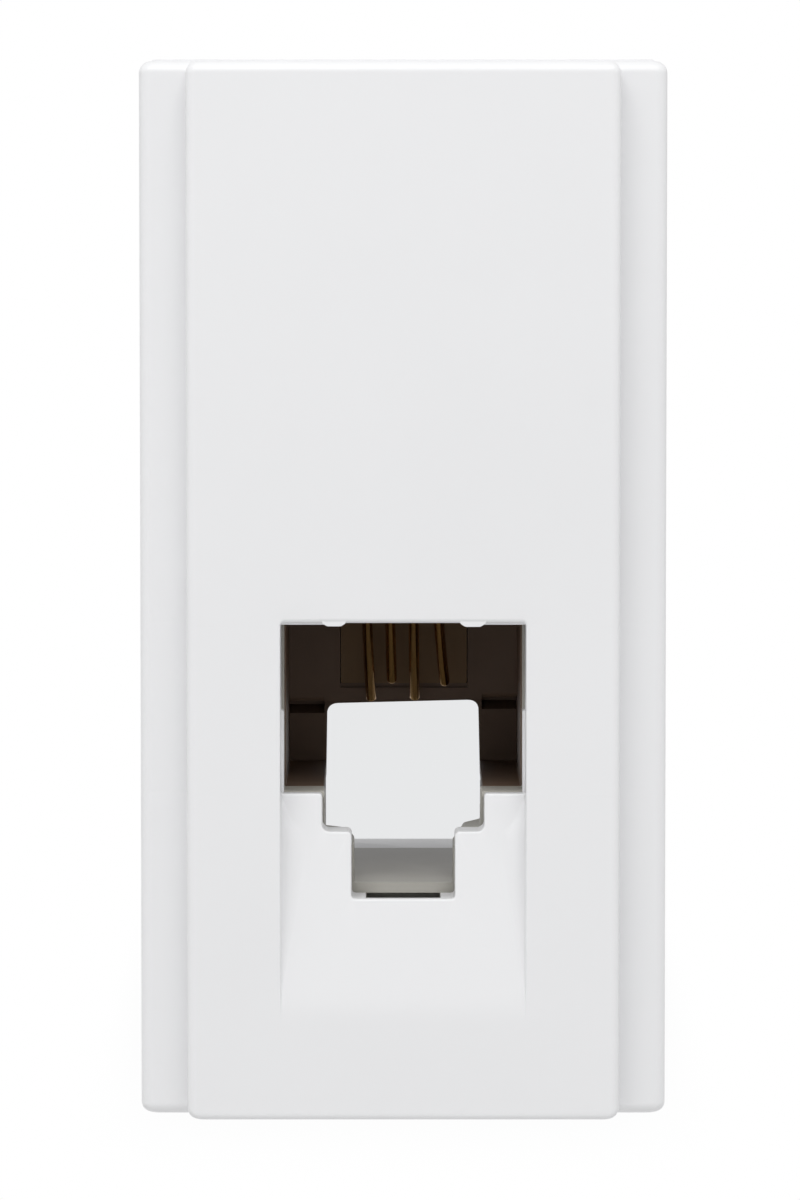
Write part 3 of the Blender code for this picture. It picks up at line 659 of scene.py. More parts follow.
def carve(piece: bpy.types.Object, cutters: list[bpy.types.Mesh], added: list[bpy.types.Mesh]) -> bpy.types.Mesh:
    """Cut forms out of a piece and join others to it.

    Args:
        piece: the piece, which is used up.
        cutters: closed meshes to take away.
        added: closed meshes to join.

    Returns:
        The resulting mesh.
    """
    tools = []
    for carving, meshes in ((Carving.CUT, cutters), (Carving.JOIN, added)):
        for mesh in meshes:
            tool = link(mesh.name, mesh)
            tools.append(tool)
            cut = piece.modifiers.new(tool.name, "BOOLEAN")
            cut.operation, cut.solver, cut.object = carving.value, "EXACT", tool
    graph = bpy.context.evaluated_depsgraph_get()
    mesh = bpy.data.meshes.new_from_object(piece.evaluated_get(graph))
    for spent in [piece, *tools]:
        bpy.data.objects.remove(spent, do_unlink=True)
    return mesh


def moulded(name: str, outline: np.ndarray, depth: Pair, cutters: list[bpy.types.Mesh],
            added: list[bpy.types.Mesh] | None = None) -> bpy.types.Mesh:
    """Carry an outline along y, cut forms out of it and join others to it.

    Args:
        name: the mesh's name.
        outline: array of points x 2.
        depth: front and back.
        cutters: closed meshes to take away.
        added: closed meshes to join.

    Returns:
        The mesh.
    """
    return carve(link(name, block(name, outline, depth)), cutters, added or [])


def place_piece(name: str, mesh: bpy.types.Mesh, finish: bpy.types.Material,
                nodes: tuple[str, ...], edges: EdgeFinish | None = None, smooth: float = 35.0) -> bpy.types.Object:
    """Put a new piece into the scene in place of solids.

    Args:
        name: the piece's name.
        mesh: its mesh, already in place.
        finish: its material.
        nodes: the solids that it replaces.
        edges: rounding of its edges, if any.
        smooth: angle in degrees up to which faces shade as one.

    Returns:
        The piece.
    """
    mesh.materials.clear()
    mesh.materials.append(finish)
    mesh.shade_smooth()
    mesh.set_sharp_from_angle(angle=math.radians(smooth))
    piece = link(name, mesh)
    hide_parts(*nodes)
    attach(piece, "root")
    if edges:
        edges.apply(piece)
    LOG.info("%s: %d faces", name, len(mesh.polygons))
    return piece


@dataclass
class FrontCover:
    """White front: two wings, a raised panel, a thumb ramp and the stepped aperture."""

    half_height: float = 22.5 * MM
    half_width: float = 11.2 * MM
    panel_half: float = 9.17 * MM
    panel_face: float = -9.15 * MM
    wing_face: float = -7.3 * MM
    plan_corner: float = 0.5 * MM           # corners seen from the front
    wing_edge: float = 0.45 * MM
    panel_edge: float = 0.32 * MM
    end_edges: Pair = mm(0.45, 0.25)        # roundings of the panel's top and foot
    lip: Pair = mm(0.09, 0.3)               # height and thickness of the lip along the rim's top
    foot: float = 0.06 * MM                 # rounding between the panel's side and the wing
    between: Pair = mm(12.0, 3.0)           # levels between the top and the aperture
    body_half: float = 5.2 * MM             # the aperture's widest part, its top and its ledge
    body_top: float = -1.31 * MM
    ledge: float = -8.7 * MM
    step_half: float = 3.45 * MM            # its middle part and that part's foot
    step: float = -10.3 * MM
    slot_half: float = 2.2 * MM             # its narrowest part and that part's foot
    slot: float = -13.13 * MM
    corners: tuple[float, ...] = mm(0.16, 0.1, 0.13, 0.3, 0.2, 0.16)    # its corner radii from the top down
    ramp_end: float = -17.85 * MM
    ramp_depth: float = 1.6 * MM
    ease: float = 0.5 * MM                  # the ramp's end is eased this far to both sides
    top_edge: float = 0.22 * MM             # roundings of the aperture's edges
    side_edge: float = 0.09 * MM
    ledge_edge: float = 0.09 * MM
    ramp_foot: float = 1.0 * MM             # rounding between the ramp's floor and its side
    lip_share: float = 0.4                  # largest share of the ramp's depth that an edge's rounding takes
    foot_shares: Pair = (0.5, 0.98)         # the same for its foot: of the floor's width, and of the depth left
    field_half: float = 6.2 * MM            # the panel's field round the aperture
    field: Pair = mm(-0.4, -18.9)
    arc: int = 6                            # steps on each corner
    runs: tuple[int, ...] = (7, 3, 1, 1, 1, 2, 2)       # steps on each straight of the aperture
    floor_shares: tuple[float, ...] = (0.3, 0.6, 0.8, 0.86, 0.9, 0.94, 0.97)    # rings on the ramp's floor
    crease_drop: float = 0.12 * MM          # a ring this far under the ramp's end keeps the shading flat there
    hollow: Triple = mm(9.6, 20.9, -5.7)    # half width, half height and ceiling

    def ramp(self, z: np.ndarray) -> np.ndarray:
        """Depth of the ramp's floor.

        It falls evenly from the ramp's end up to the ledge. Within the easing of the end, the way past it is
        the square of the distance from the easing's start over four times the easing.

        Args:
            z: heights.

        Returns:
            Places along y.
        """
        past = z - self.ramp_end
        eased = np.where(np.abs(past) < self.ease, (past + self.ease) ** 2 / (4.0 * self.ease), np.maximum(past, 0.0))
        return self.panel_face + self.ramp_depth * eased / (self.ledge - self.ramp_end)

    def aperture(self) -> tuple[np.ndarray, np.ndarray, np.ndarray]:
        """Rings round the right half of the aperture, from the back over ramp and panel.

        Ring by ring: the field's border at the back, the outline at the back, the wall, the rounding from wall
        to ramp floor, the floor, its foot at the ramp's side, the side, the rounding on to the panel, the crease
        under the ramp's end, the field's border at the front. Columns above the ledge have no floor, so those
        rings lie on the wall.

        Returns:
            Rings x columns x 3 points, and the border's x values and z values.
        """
        corners = stepped_corners((self.body_half, self.step_half, self.slot_half),
                                  (self.body_top, self.ledge, self.step, self.slot))
        radii = np.array([0.0, *self.corners, 0.0])
        spot, out = corner_path(corners, radii, self.runs, self.arc)
        columns = np.arange(len(spot))
        top = self.runs[0]
        turn_top, meet, side_end = top + self.arc // 2, sum(self.runs[:2]) + self.arc, sum(self.runs[:5]) + 5 * self.arc
        low = columns >= meet
        level = np.where(low, self.ramp(spot[:, 1]), self.ramp(spot[meet, 1]))

        def put(place: np.ndarray, depth: np.ndarray | float) -> np.ndarray:
            """One ring: places in x and z with their depth."""
            return np.stack([place[:, 0], np.broadcast_to(depth, len(place)), place[:, 1]], axis=1)

        def floor(place: np.ndarray) -> np.ndarray:
            """Depth of the ramp's floor at each place; above the ledge, that of its upper end."""
            return np.where(low, self.ramp(place[:, 1]), level)

        quarter = np.linspace(0.0, QUARTER_TURN, self.arc + 1)
        rings = [put(spot, 0.0)]
        radius = self.ledge_edge
        reach = np.where(low, 1.0, 0.0)[:, None] * out
        for angle in quarter:
            place = spot + radius * (1.0 - math.cos(angle)) * reach
            place[:, 0] = np.minimum(place[:, 0], self.body_half)
            rings.append(put(place, floor(place) + radius * (1.0 - math.sin(angle))))
        edge = place
        bound, away = self.ramp_outline(spot, edge, out, meet, side_end)
        height = floor(bound) - self.panel_face
        room = np.linalg.norm(bound - edge, axis=1)
        size = np.interp(columns, [0, top, meet - 3, meet, side_end], [self.top_edge] * 2 + [self.side_edge] * 3)
        lip = np.minimum(size, self.lip_share * height)
        beside_foot, under_lip = self.foot_shares
        foot = np.minimum(np.minimum(self.ramp_foot, beside_foot * room), under_lip * (height - lip))
        foot = np.where(low, foot, 0.0)[:, None]
        start = bound - foot * away
        for share in self.floor_shares:
            place = edge + (start - edge) * share
            rings.append(put(place, floor(place)))
        for angle in np.linspace(0.0, QUARTER_TURN, 7):
            place = bound - foot * (1.0 - math.sin(angle)) * away
            rings.append(put(place, floor(place) - foot[:, 0] * (1.0 - math.cos(angle))))
        for angle in quarter:
            rings.append(put(bound + (lip * (1.0 - math.cos(angle)))[:, None] * away,
                             self.panel_face + lip * (1.0 - math.sin(angle))))
        crease = rings[-1].copy()
        crease[side_end:, 2] -= self.crease_drop
        rings.append(crease)
        border = self.field_border(bound, turn_top, side_end)
        lines = border[:turn_top + 1, 0]
        levels = border[turn_top:side_end + 1, 1]
        return np.stack([put(border, 0.0), *rings, put(border, self.panel_face)]), lines, levels

    def ramp_outline(self, spot: np.ndarray, edge: np.ndarray, out: np.ndarray, meet: int,
                     side_end: int) -> tuple[np.ndarray, np.ndarray]:
        """Find where the ramp's side and end meet the panel.

        Above the ledge this is the aperture's outline. Below it the side runs straight down from the widest
        column and the end straight across to the middle, with evenly spaced points.

        Args:
            spot: the aperture's outline.
            edge: the upper edge of the ramp's floor.
            out: normals of the outline.
            meet: first column below the ledge.
            side_end: column at the ramp's corner.

        Returns:
            Places and the directions away from the ramp there.
        """
        columns = np.arange(len(spot))
        held = int(np.nonzero((columns >= meet) & (edge[:, 0] >= self.body_half - LEAST))[0].max())
        bound = edge.copy()
        bound[:meet] = spot[:meet]
        last = self.ramp_end - self.ease
        down, across = np.arange(held, side_end + 1), np.arange(side_end, len(spot))
        bound[down, 0] = self.body_half
        bound[down, 1] = np.interp(down, [held, side_end], [edge[held, 1], last])
        bound[across, 0] = np.interp(across, [side_end, len(spot) - 1], [self.body_half, 0.0])
        bound[across, 1] = last
        away = np.where(columns[:, None] < meet, out, np.array([1.0, 0.0]))
        away[across] = (0.0, -1.0)
        away[side_end] = (math.sqrt(0.5), -math.sqrt(0.5))
        return bound, away

    def field_border(self, bound: np.ndarray, turn_top: int, side_end: int) -> np.ndarray:
        """Lay a rectangle round the aperture, with a point for each column, that joins it to the skin.

        Args:
            bound: where the ramp meets the panel.
            turn_top: column at the rectangle's upper corner.
            side_end: column at its lower corner.

        Returns:
            Array of columns x 2.
        """
        border = np.empty_like(bound)
        border[:turn_top + 1, 0] = np.linspace(0.0, self.field_half, turn_top + 1)
        border[:turn_top + 1, 1] = self.field[0]
        border[turn_top:side_end + 1, 0] = self.field_half
        border[turn_top + 1:side_end, 1] = bound[turn_top + 1:side_end, 1]
        border[side_end:, 0] = np.linspace(self.field_half, 0.0, len(bound) - side_end)
        border[side_end:, 1] = self.field[1]
        return border

    def inset(self, z: np.ndarray, radius: float | np.ndarray) -> np.ndarray:
        """How far a rounding of that radius at both ends draws in: radius less the circle's height there."""
        past = np.clip(np.abs(z) - (self.half_height - radius), 0.0, radius)
        return radius - np.sqrt(np.maximum(radius ** 2 - past ** 2, 0.0))

    def body(self, lines: np.ndarray, levels: np.ndarray) -> tuple[np.ndarray, int, int]:
        """Right half of the outer skin: the cross-section carried along z and drawn in at both ends.

        Across one level the points run from the middle of the panel over its edge, down its side to the wing,
        over the wing's edge to the rim and along the back to the middle. The top levels lie lower by the lip's
        height, since only the lip reaches the full height.

        Args:
            lines: x values of the aperture's field.
            levels: z values of the aperture's field.

        Returns:
            Levels x points x 3, the first level of the field, and the number of lines across it.
        """
        quarter = np.linspace(0.0, QUARTER_TURN, 9)
        end = self.half_height - self.plan_corner * (1.0 - np.cos(quarter))
        z = np.concatenate([np.sort(end)[::-1], self.between, levels, -np.sort(end)])
        face = self.panel_face + self.inset(z, np.where(z > 0.0, *self.end_edges))
        wing = self.wing_face + self.inset(z, self.wing_edge)
        panel = self.panel_half - self.inset(z, self.plan_corner)
        outer = self.half_width - self.inset(z, self.plan_corner)
        z[:len(end)] -= self.lip[0]
        arc = np.linspace(0.0, QUARTER_TURN, self.arc + 1)[None]
        steep = np.linspace(0.0, QUARTER_TURN, 4)[None]

        def across(x: np.ndarray, y: np.ndarray) -> np.ndarray:
            """Points of every level side by side."""
            return np.stack(np.broadcast_arrays(x, y, z[:, None]), axis=-1)

        edge, rim, foot = self.panel_edge, self.wing_edge, self.foot
        parts = [
            across(lines[None], face[:, None]),
            across(panel[:, None] - edge * (1.0 - np.sin(arc)), face[:, None] + edge * (1.0 - np.cos(arc))),
            across(panel[:, None] + foot * (1.0 - np.cos(steep)), wing[:, None] - foot * (1.0 - np.sin(steep))),
            across(outer[:, None] - rim * (1.0 - np.sin(arc)), wing[:, None] + rim * (1.0 - np.cos(arc))),
            across(outer[:, None], np.zeros((1, 1))),
            across(lines[None, ::-1], np.zeros((1, 1))),
        ]
        return np.concatenate(parts, axis=1), len(end) + 2, len(lines)

    def build(self, finish: bpy.types.Material) -> bpy.types.Object:
        """Make the cover.

        Args:
            finish: its material.

        Returns:
            The finished piece.
        """
        patch, lines, levels = self.aperture()
        skin, first, count = self.body(lines, levels)
        rows, columns = skin.shape[:2]
        quads = grid_quads(rows, columns)
        row, column = quads[:, 0] // columns, quads[:, 0] % columns
        field_rows = (row >= first) & (row < first + len(levels) - 1)
        open_field = field_rows & ((column < count - 1) | (column >= columns - count))
        skin_faces = quads[~open_field]
        patch_faces = grid_quads(*patch.shape[:2]) + rows * columns
        half = np.concatenate([skin.reshape(-1, 3), patch.reshape(-1, 3)])
        other = half * np.array([-1.0, 1.0, 1.0])
        right = np.concatenate([skin_faces, patch_faces])
        left = right[:, ::-1] + len(half)
        top = np.arange(columns)
        caps = [np.concatenate([base + top, (base + top + len(half))[::-1]]).tolist()
                for base in (0, (rows - 1) * columns)]
        mesh = make_mesh("front_cover", np.concatenate([half, other]), right.tolist() + left.tolist() + caps)
        lip, thickness = self.lip
        reach = self.half_width - 0.01 * MM
        rim = bar("rim_lip", (-reach, reach), (lip - self.half_height, self.half_height), (-thickness, 0.0),
                  self.plan_corner, 8)
        rimmed = carve(link("cover_skin", mesh), [], [rim])
        carved = carve(link("rimmed_cover", rimmed), self.hollows(), self.nibs())
        piece = place_piece("cover_moulding", carved, finish, ("front_cover",))
        level = piece.modifiers.new("level_faces", "WEIGHTED_NORMAL")
        level.keep_sharp = True
        return piece

    def hollows(self) -> list[bpy.types.Mesh]:
        """Make the cutters: main hollow, panel's pocket, jack's seat, latch notch, ledge seats, snap windows.

        Returns:
            Closed meshes to take away.
        """
        past = 1.0 * MM
        wide, tall, ceiling = self.hollow
        cutters = [
            bar("hollow", (-wide, wide), (-tall, tall), (ceiling, past), past, 8),
            bar("pocket", mm(-7.57, 7.57), mm(4.6, 19.3), (-7.55 * MM, ceiling + past), past, 8),
            bar("seat", mm(-7.35, 7.35), mm(-13.9, 3.0), (-5.95 * MM, ceiling + past), 0.15 * MM, 8),
            bar("notch", mm(-1.6, 1.6), mm(-13.55, -12.55), mm(-7.9, -5.0), 0.08 * MM, 8),
        ]
        for side in (-1.0, 1.0):
            cutters.append(bar("ledge_seat", beside(side, *mm(3.3, 5.32)), mm(-8.97, -8.2), mm(-7.02, -5.4), 0.03 * MM))
            for level in mm(-12.0, 12.0):
                span = (level - 2.2 * MM, level + 2.2 * MM)
                cutters.append(bar("snap_window", beside(side, *mm(8.6, 12.2)), span, mm(-3.9, -1.3), 0.1 * MM))
        return cutters

    def nibs(self) -> list[bpy.types.Mesh]:
        """Make the added forms: nibs and low steps at the aperture's top edge, ribs on its side walls.

        Returns:
            Closed meshes to join.
        """
        added = []
        top = self.body_top
        for centre, width, drop in (mm(-2.93, 1.0, 0.13), mm(2.95, 1.1, 0.15)):
            corners = np.array([(centre + 0.5 * width, top + 0.3 * MM), (centre - 0.5 * width, top + 0.3 * MM),
                                (centre - 0.5 * width, top), (centre - 0.3 * width, top - drop),
                                (centre + 0.3 * width, top - drop), (centre + 0.5 * width, top)])
            outline = rounded_outline(corners, 0.08 * MM)
            added.append(block("top_nib", outline, (self.panel_face + 0.05 * MM, -6.25 * MM)))
        for side in (-1.0, 1.0):
            added.append(bar("top_step", beside(side, 2.55 * MM, self.body_half + 0.3 * MM),
                             (top - 0.07 * MM, top + 0.3 * MM), (self.panel_face + 0.22 * MM, -6.2 * MM), 0.03 * MM, 3))
            added.append(bar("side_rib", beside(side, self.body_half - 0.11 * MM, self.body_half + 0.2 * MM),
                             (self.ledge - 0.15 * MM, self.ledge + 3.5 * MM), mm(-7.0, -6.25), 0.05 * MM, 4))
        return added


@dataclass
class JackHousing:
    """Pale sleeve behind the cover: a stepped front plate, a pocket for the contact block, a latch channel."""

    half: float = 7.05 * MM
    height: Pair = mm(-13.6, 2.7)
    depth: Pair = mm(-5.65, 8.1)
    plate_rear: float = -2.65 * MM
    roof: float = -1.3 * MM
    ledge: float = -8.65 * MM
    floor: float = -12.73 * MM
    half_body: float = 5.1 * MM
    right_steps: tuple[Pair, ...] = (mm(3.32, -8.65), mm(3.32, -10.28), mm(2.62, -10.45), mm(2.42, -10.80),
                                     mm(2.14, -11.15), mm(2.14, -12.73))
    left_steps: tuple[Pair, ...] = (mm(-2.11, -12.73), mm(-2.11, -11.08), mm(-2.38, -10.68), mm(-3.37, -10.56),
                                    mm(-3.37, -8.65))
    reach: float = 0.07 * MM                # rounding of the opening's corners
    edges: EdgeFinish = EdgeFinish(0.06 * MM)

    def opening(self) -> np.ndarray:
        """Outline of the stepped opening, clockwise from its upper right corner.

        Returns:
            Array of points x 2.
        """
        corners = np.array([(self.half_body, self.roof), (self.half_body, self.ledge), *self.right_steps,
                            *self.left_steps, (-self.half_body, self.ledge), (-self.half_body, self.roof)])
        return rounded_outline(corners, self.reach, 3)

    def lips(self) -> list[bpy.types.Mesh]:
        """Low lips that reach forward under both ledges of the cover."""
        return [bar("ledge_lip", beside(side, *mm(3.37, 5.28)), (self.ledge - 0.28 * MM, self.ledge),
                    (-6.95 * MM, self.depth[0] + 0.5 * MM), 0.05 * MM) for side in (-1.0, 1.0)]

    def build(self, finish: bpy.types.Material) -> bpy.types.Object:
        """Make the sleeve.

        Args:
            finish: its material.

        Returns:
            The finished piece.
        """
        back = self.depth[1] + 1.0 * MM
        cutters = [
            bar("pocket", mm(-6.05, 6.05), mm(-9.65, 1.7), (-4.85 * MM, back), 0.1 * MM),
            bar("channel", mm(-3.45, 3.45), (self.floor, -9.0 * MM), (self.plate_rear, back), 0.05 * MM),
            block("opening", self.opening(), mm(-7.0, -2.0)),
            bar("gap", mm(-1.58, 1.58), mm(-14.6, -13.17), mm(-6.6, -4.4), 0.03 * MM),
        ]
        outline = rounded_rectangle((-self.half, self.half), self.height, 0.3 * MM, 4)
        mesh = moulded("jack_sleeve", outline, self.depth, cutters, self.lips())
        return place_piece("jack_sleeve", mesh, finish, ("jack_housing",), self.edges)


@dataclass
class ContactBlock:
    """Dark lining of the plug's cavity, with a windowed rear wall and a notch for the carrier."""

    half: float = 5.75 * MM
    cavity: float = 5.05 * MM
    height: Pair = mm(-9.35, 1.4)
    depth: Pair = mm(-4.75, 8.1)
    roof: float = -1.3 * MM
    floor: float = -8.65 * MM
    upper_face: float = 5.5 * MM
    lower_face: float = 6.7 * MM
    shoulder: Pair = mm(-5.91, -5.73)       # its height on the left and on the right
    cove: Triple = mm(3.5, 0.62, 7.6)       # inner end, drop and depth of the hollow under it
    brow: Pair = mm(0.32, -0.06)            # radius over a cove, and its height over the shoulder
    window: tuple[Pair, ...] = (mm(3.36, -5.93), mm(-3.38, -6.10), mm(-3.45, -10.8), mm(3.47, -10.8))
    notch: tuple[Pair, float] = (mm(-2.79, 2.86), -5.11 * MM)       # sides and foot
    band: Pair = mm(-5.29, 5.66)            # foot and back of the shallow cut round the carrier
    edges: EdgeFinish = EdgeFinish(0.035 * MM)

    def hollowed_cove(self, side: float, level: float) -> bpy.types.Mesh:
        """Make the cutter of one cove beside the window.

        Its upper edge is a quarter circle: the face plus the radius times one less the cosine, and the brow
        plus the radius times one less the sine. Its lower face slopes out again.

        Args:
            side: -1 for the left, 1 for the right.
            level: height of the shoulder.

        Returns:
            The closed mesh.
        """
        inner, drop, deep = self.cove
        radius, rise = self.brow
        before, brow = self.upper_face - 1.0 * MM, level + rise
        turn = np.linspace(0.0, QUARTER_TURN, 9)
        bend = np.stack([self.upper_face + radius * (1.0 - np.cos(turn)), brow + radius * (1.0 - np.sin(turn))], axis=1)
        corners = np.array([(deep, level - 0.12 * MM), (deep, level - 0.3 * MM), (self.lower_face, level - drop),
                            (before, level - drop), (before, brow + radius)])
        return cross_block("cove", np.concatenate([bend, corners]), beside(side, inner, self.cavity))

    def build(self, finish: bpy.types.Material) -> bpy.types.Object:
        """Make the block.

        Args:
            finish: its material.

        Returns:
            The finished piece.
        """
        past = 1.0 * MM
        front, back = self.depth
        wide = (-self.cavity, self.cavity)
        left, right = self.shoulder
        nose = np.array([(self.cavity, right), (-self.cavity, left), (-self.cavity, self.floor),
                         (self.cavity, self.floor)])
        cutters = [
            bar("cavity", wide, (self.floor, self.roof), (front - past, self.upper_face), 0.06 * MM),
            block("nose", rounded_outline(nose, 0.08 * MM, 2), (self.upper_face - past, self.lower_face)),
            block("window", rounded_outline(np.array(self.window), 0.5 * MM), (front - past, back + past)),
            bar("trough", mm(-2.3, 2.3), (self.roof - past, 2.4 * MM), (front + 2.85 * MM, self.upper_face + past),
                0.1 * MM),
            bar("notch", self.notch[0], (self.notch[1], 2.4 * MM), (self.upper_face - past, back + past), 0.05 * MM),
            bar("band", self.notch[0], (self.band[0], self.notch[1] + 0.3 * MM), (self.upper_face - past, self.band[1]),
                0.03 * MM),
        ]
        cutters += [self.hollowed_cove(side, level) for side, level in ((-1.0, left), (1.0, right))]
        outline = rounded_rectangle((-self.half, self.half), self.height, 0.15 * MM, 3)
        mesh = moulded("contact_lining", outline, self.depth, cutters)
        return place_piece("contact_lining", mesh, finish, ("contact_block",), self.edges)


@dataclass
class ContactCarrier:
    """Brown insert above the window, through which the wires run back to the board."""

    sides: Pair = mm(-2.76, 2.83)
    height: Pair = mm(-5.09, 1.4)
    depth: Pair = mm(5.5, 8.1)
    holes: tuple[Pair, ...] = (mm(-1.53, -0.5), mm(-0.51, 0.6), mm(0.51, -0.5), mm(1.53, 0.6))
    hole: float = 0.38 * MM                 # radius
    edges: EdgeFinish = EdgeFinish(0.03 * MM)

    def build(self, finish: bpy.types.Material) -> bpy.types.Object:
        """Make the insert.

        Args:
            finish: its material.

        Returns:
            The finished piece.
        """
        past, hole = 1.0 * MM, self.hole
        depth = (self.depth[0] - past, self.depth[1] + past)
        drills = [bar("wire_hole", (x - hole, x + hole), (z - hole, z + hole), depth, hole, 6) for x, z in self.holes]
        outline = rounded_rectangle(self.sides, self.height, 0.08 * MM, 3)
        mesh = moulded("wire_insert", outline, self.depth, drills)
        return place_piece("wire_insert", mesh, finish, ("contact_carrier",), self.edges)


@dataclass(frozen=True)
class SpringWire:
    """Place of one spring wire."""

    x: float
    tail: float                 # height of its tail
    tip: Pair                   # the tip in y and z
    lean: float                 # how far the spring leans to the side
    shift: float                # how far its bend stands beside its tail
    tip_rounding: float         # share of a full rounding


@dataclass
class ContactWires:
    """Four plated spring wires: tail, run along the trough, bend at the front, spring down to the tip."""

    radius: float = 0.23 * MM
    bend: float = 0.55 * MM
    bend_y: float = -0.65 * MM
    tail_y: float = 10.2 * MM
    lean_power: float = 1.6
    tail_rounding: float = 0.4          # share of a full rounding
    points: tuple[int, int, int] = (11, 33, 23)     # on tail, bend and spring
    wires: tuple[SpringWire, ...] = (
        SpringWire(-1.53 * MM, -0.5 * MM, mm(4.55, -5.64), 0.16 * MM, -0.04 * MM, 0.1),
        SpringWire(-0.51 * MM, 0.6 * MM, mm(3.85, -4.89), 0.09 * MM, -0.07 * MM, 1.0),
        SpringWire(0.51 * MM, -0.5 * MM, mm(4.55, -5.60), 0.06 * MM, -0.05 * MM, 0.1),
        SpringWire(1.53 * MM, 0.6 * MM, mm(3.85, -5.0), 0.34 * MM, -0.02 * MM, 1.0),
    )

    def path(self, wire: SpringWire) -> np.ndarray:
        """Centre line of a wire: straight tail, arc about the bend's centre, straight spring.

        The arc ends where the line to the tip touches it. The lean grows with a power of the way along the
        spring; the shift to one side grows evenly along the tail.

        Args:
            wire: its place.

        Returns:
            Array of points x 3.
        """
        centre = np.array([self.bend_y, wire.tail - self.bend])
        reach = np.array(wire.tip) - centre
        bearing = math.atan2(reach[1], reach[0])
        stop = bearing - math.acos(self.bend / np.linalg.norm(reach))
        turned = (stop - QUARTER_TURN) % FULL_TURN
        on_tail, on_bend, on_spring = self.points
        turn = QUARTER_TURN + turned * np.linspace(0.0, 1.0, on_bend)
        arc = centre + self.bend * np.stack([np.cos(turn), np.sin(turn)], axis=1)
        tail = np.stack([np.linspace(self.tail_y, arc[0, 0], on_tail + 1)[:-1], np.full(on_tail, arc[0, 1])], axis=1)
        share = np.linspace(0.0, 1.0, on_spring + 1)[1:]
        spring = arc[-1] + (np.array(wire.tip) - arc[-1]) * share[:, None]
        flat = np.concatenate([tail, arc, spring])
        shift = np.concatenate([np.linspace(0.0, wire.shift, len(tail)), np.full(len(arc), wire.shift),
                                wire.shift + wire.lean * share ** self.lean_power])
        return np.stack([wire.x + shift, flat[:, 0], flat[:, 1]], axis=1)

    def rounded_ends(self, path: np.ndarray, wire: SpringWire) -> tuple[np.ndarray, np.ndarray]:
        """Add points near both ends so that the wire's radius falls along a quarter circle there.

        Args:
            path: the centre line.
            wire: its place, with the share of a full rounding at its tip.

        Returns:
            The longer path and the radius at each point.
        """
        points, sizes = [], []
        fall = np.linspace(0.0, QUARTER_TURN, 8)[:-1]
        for inner, end, share in ((path[1], path[0], self.tail_rounding), (path[-2], path[-1], wire.tip_rounding)):
            away = (end - inner) / np.linalg.norm(end - inner)
            depth = self.radius * share
            points.append(end + away * (depth * np.sin(fall))[:, None] - away * depth)
            sizes.append(self.radius - depth + depth * np.cos(fall))
        body = path[1:-1]
        whole = np.concatenate([points[0][::-1], body, points[1]])
        return whole, np.concatenate([sizes[0][::-1], np.full(len(body), self.radius), sizes[1]])

    def build(self, finish: bpy.types.Material) -> list[bpy.types.Object]:
        """Make the wires.

        Args:
            finish: their material.

        Returns:
            The finished pieces.
        """
        made = []
        for number, wire in enumerate(self.wires, start=1):
            path, sizes = self.rounded_ends(self.path(wire), wire)
            points, faces = sweep(path, sizes, np.array([1.0, 0.0, 0.0]))
            mesh = make_mesh(f"spring_wire_{number}", points, faces)
            made.append(place_piece(f"spring_wire_{number}", mesh, finish, (f"contact_wire_{number}",),
                                    smooth=60.0))
        return made


@dataclass
class RearHousing:
    """White shell behind the cover, as the solid has it, with the sill of its duct opened for light."""

    sill: Pair = mm(-13.4, -12.3)
    half: float = 3.6 * MM
    depth: Pair = mm(8.2, 11.5)
    edges: EdgeFinish = EdgeFinish(0.12 * MM)

    def build(self, finish: bpy.types.Material) -> bpy.types.Object:
        """Copy the solid, merge its triangles, cut the sill down to the duct's floor and round the edges.

        Args:
            finish: its material.

        Returns:
            The finished piece.
        """
        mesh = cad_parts["rear_housing"].data.copy()
        merge_points(mesh, SOLID_REACH)
        sill = bar("sill", (-self.half, self.half), self.sill, self.depth, 0.02 * MM, 1)
        carved = carve(link("housing_copy", mesh), [sill], [])
        return place_piece("housing_shell", carved, finish, ("rear_housing",), self.edges)


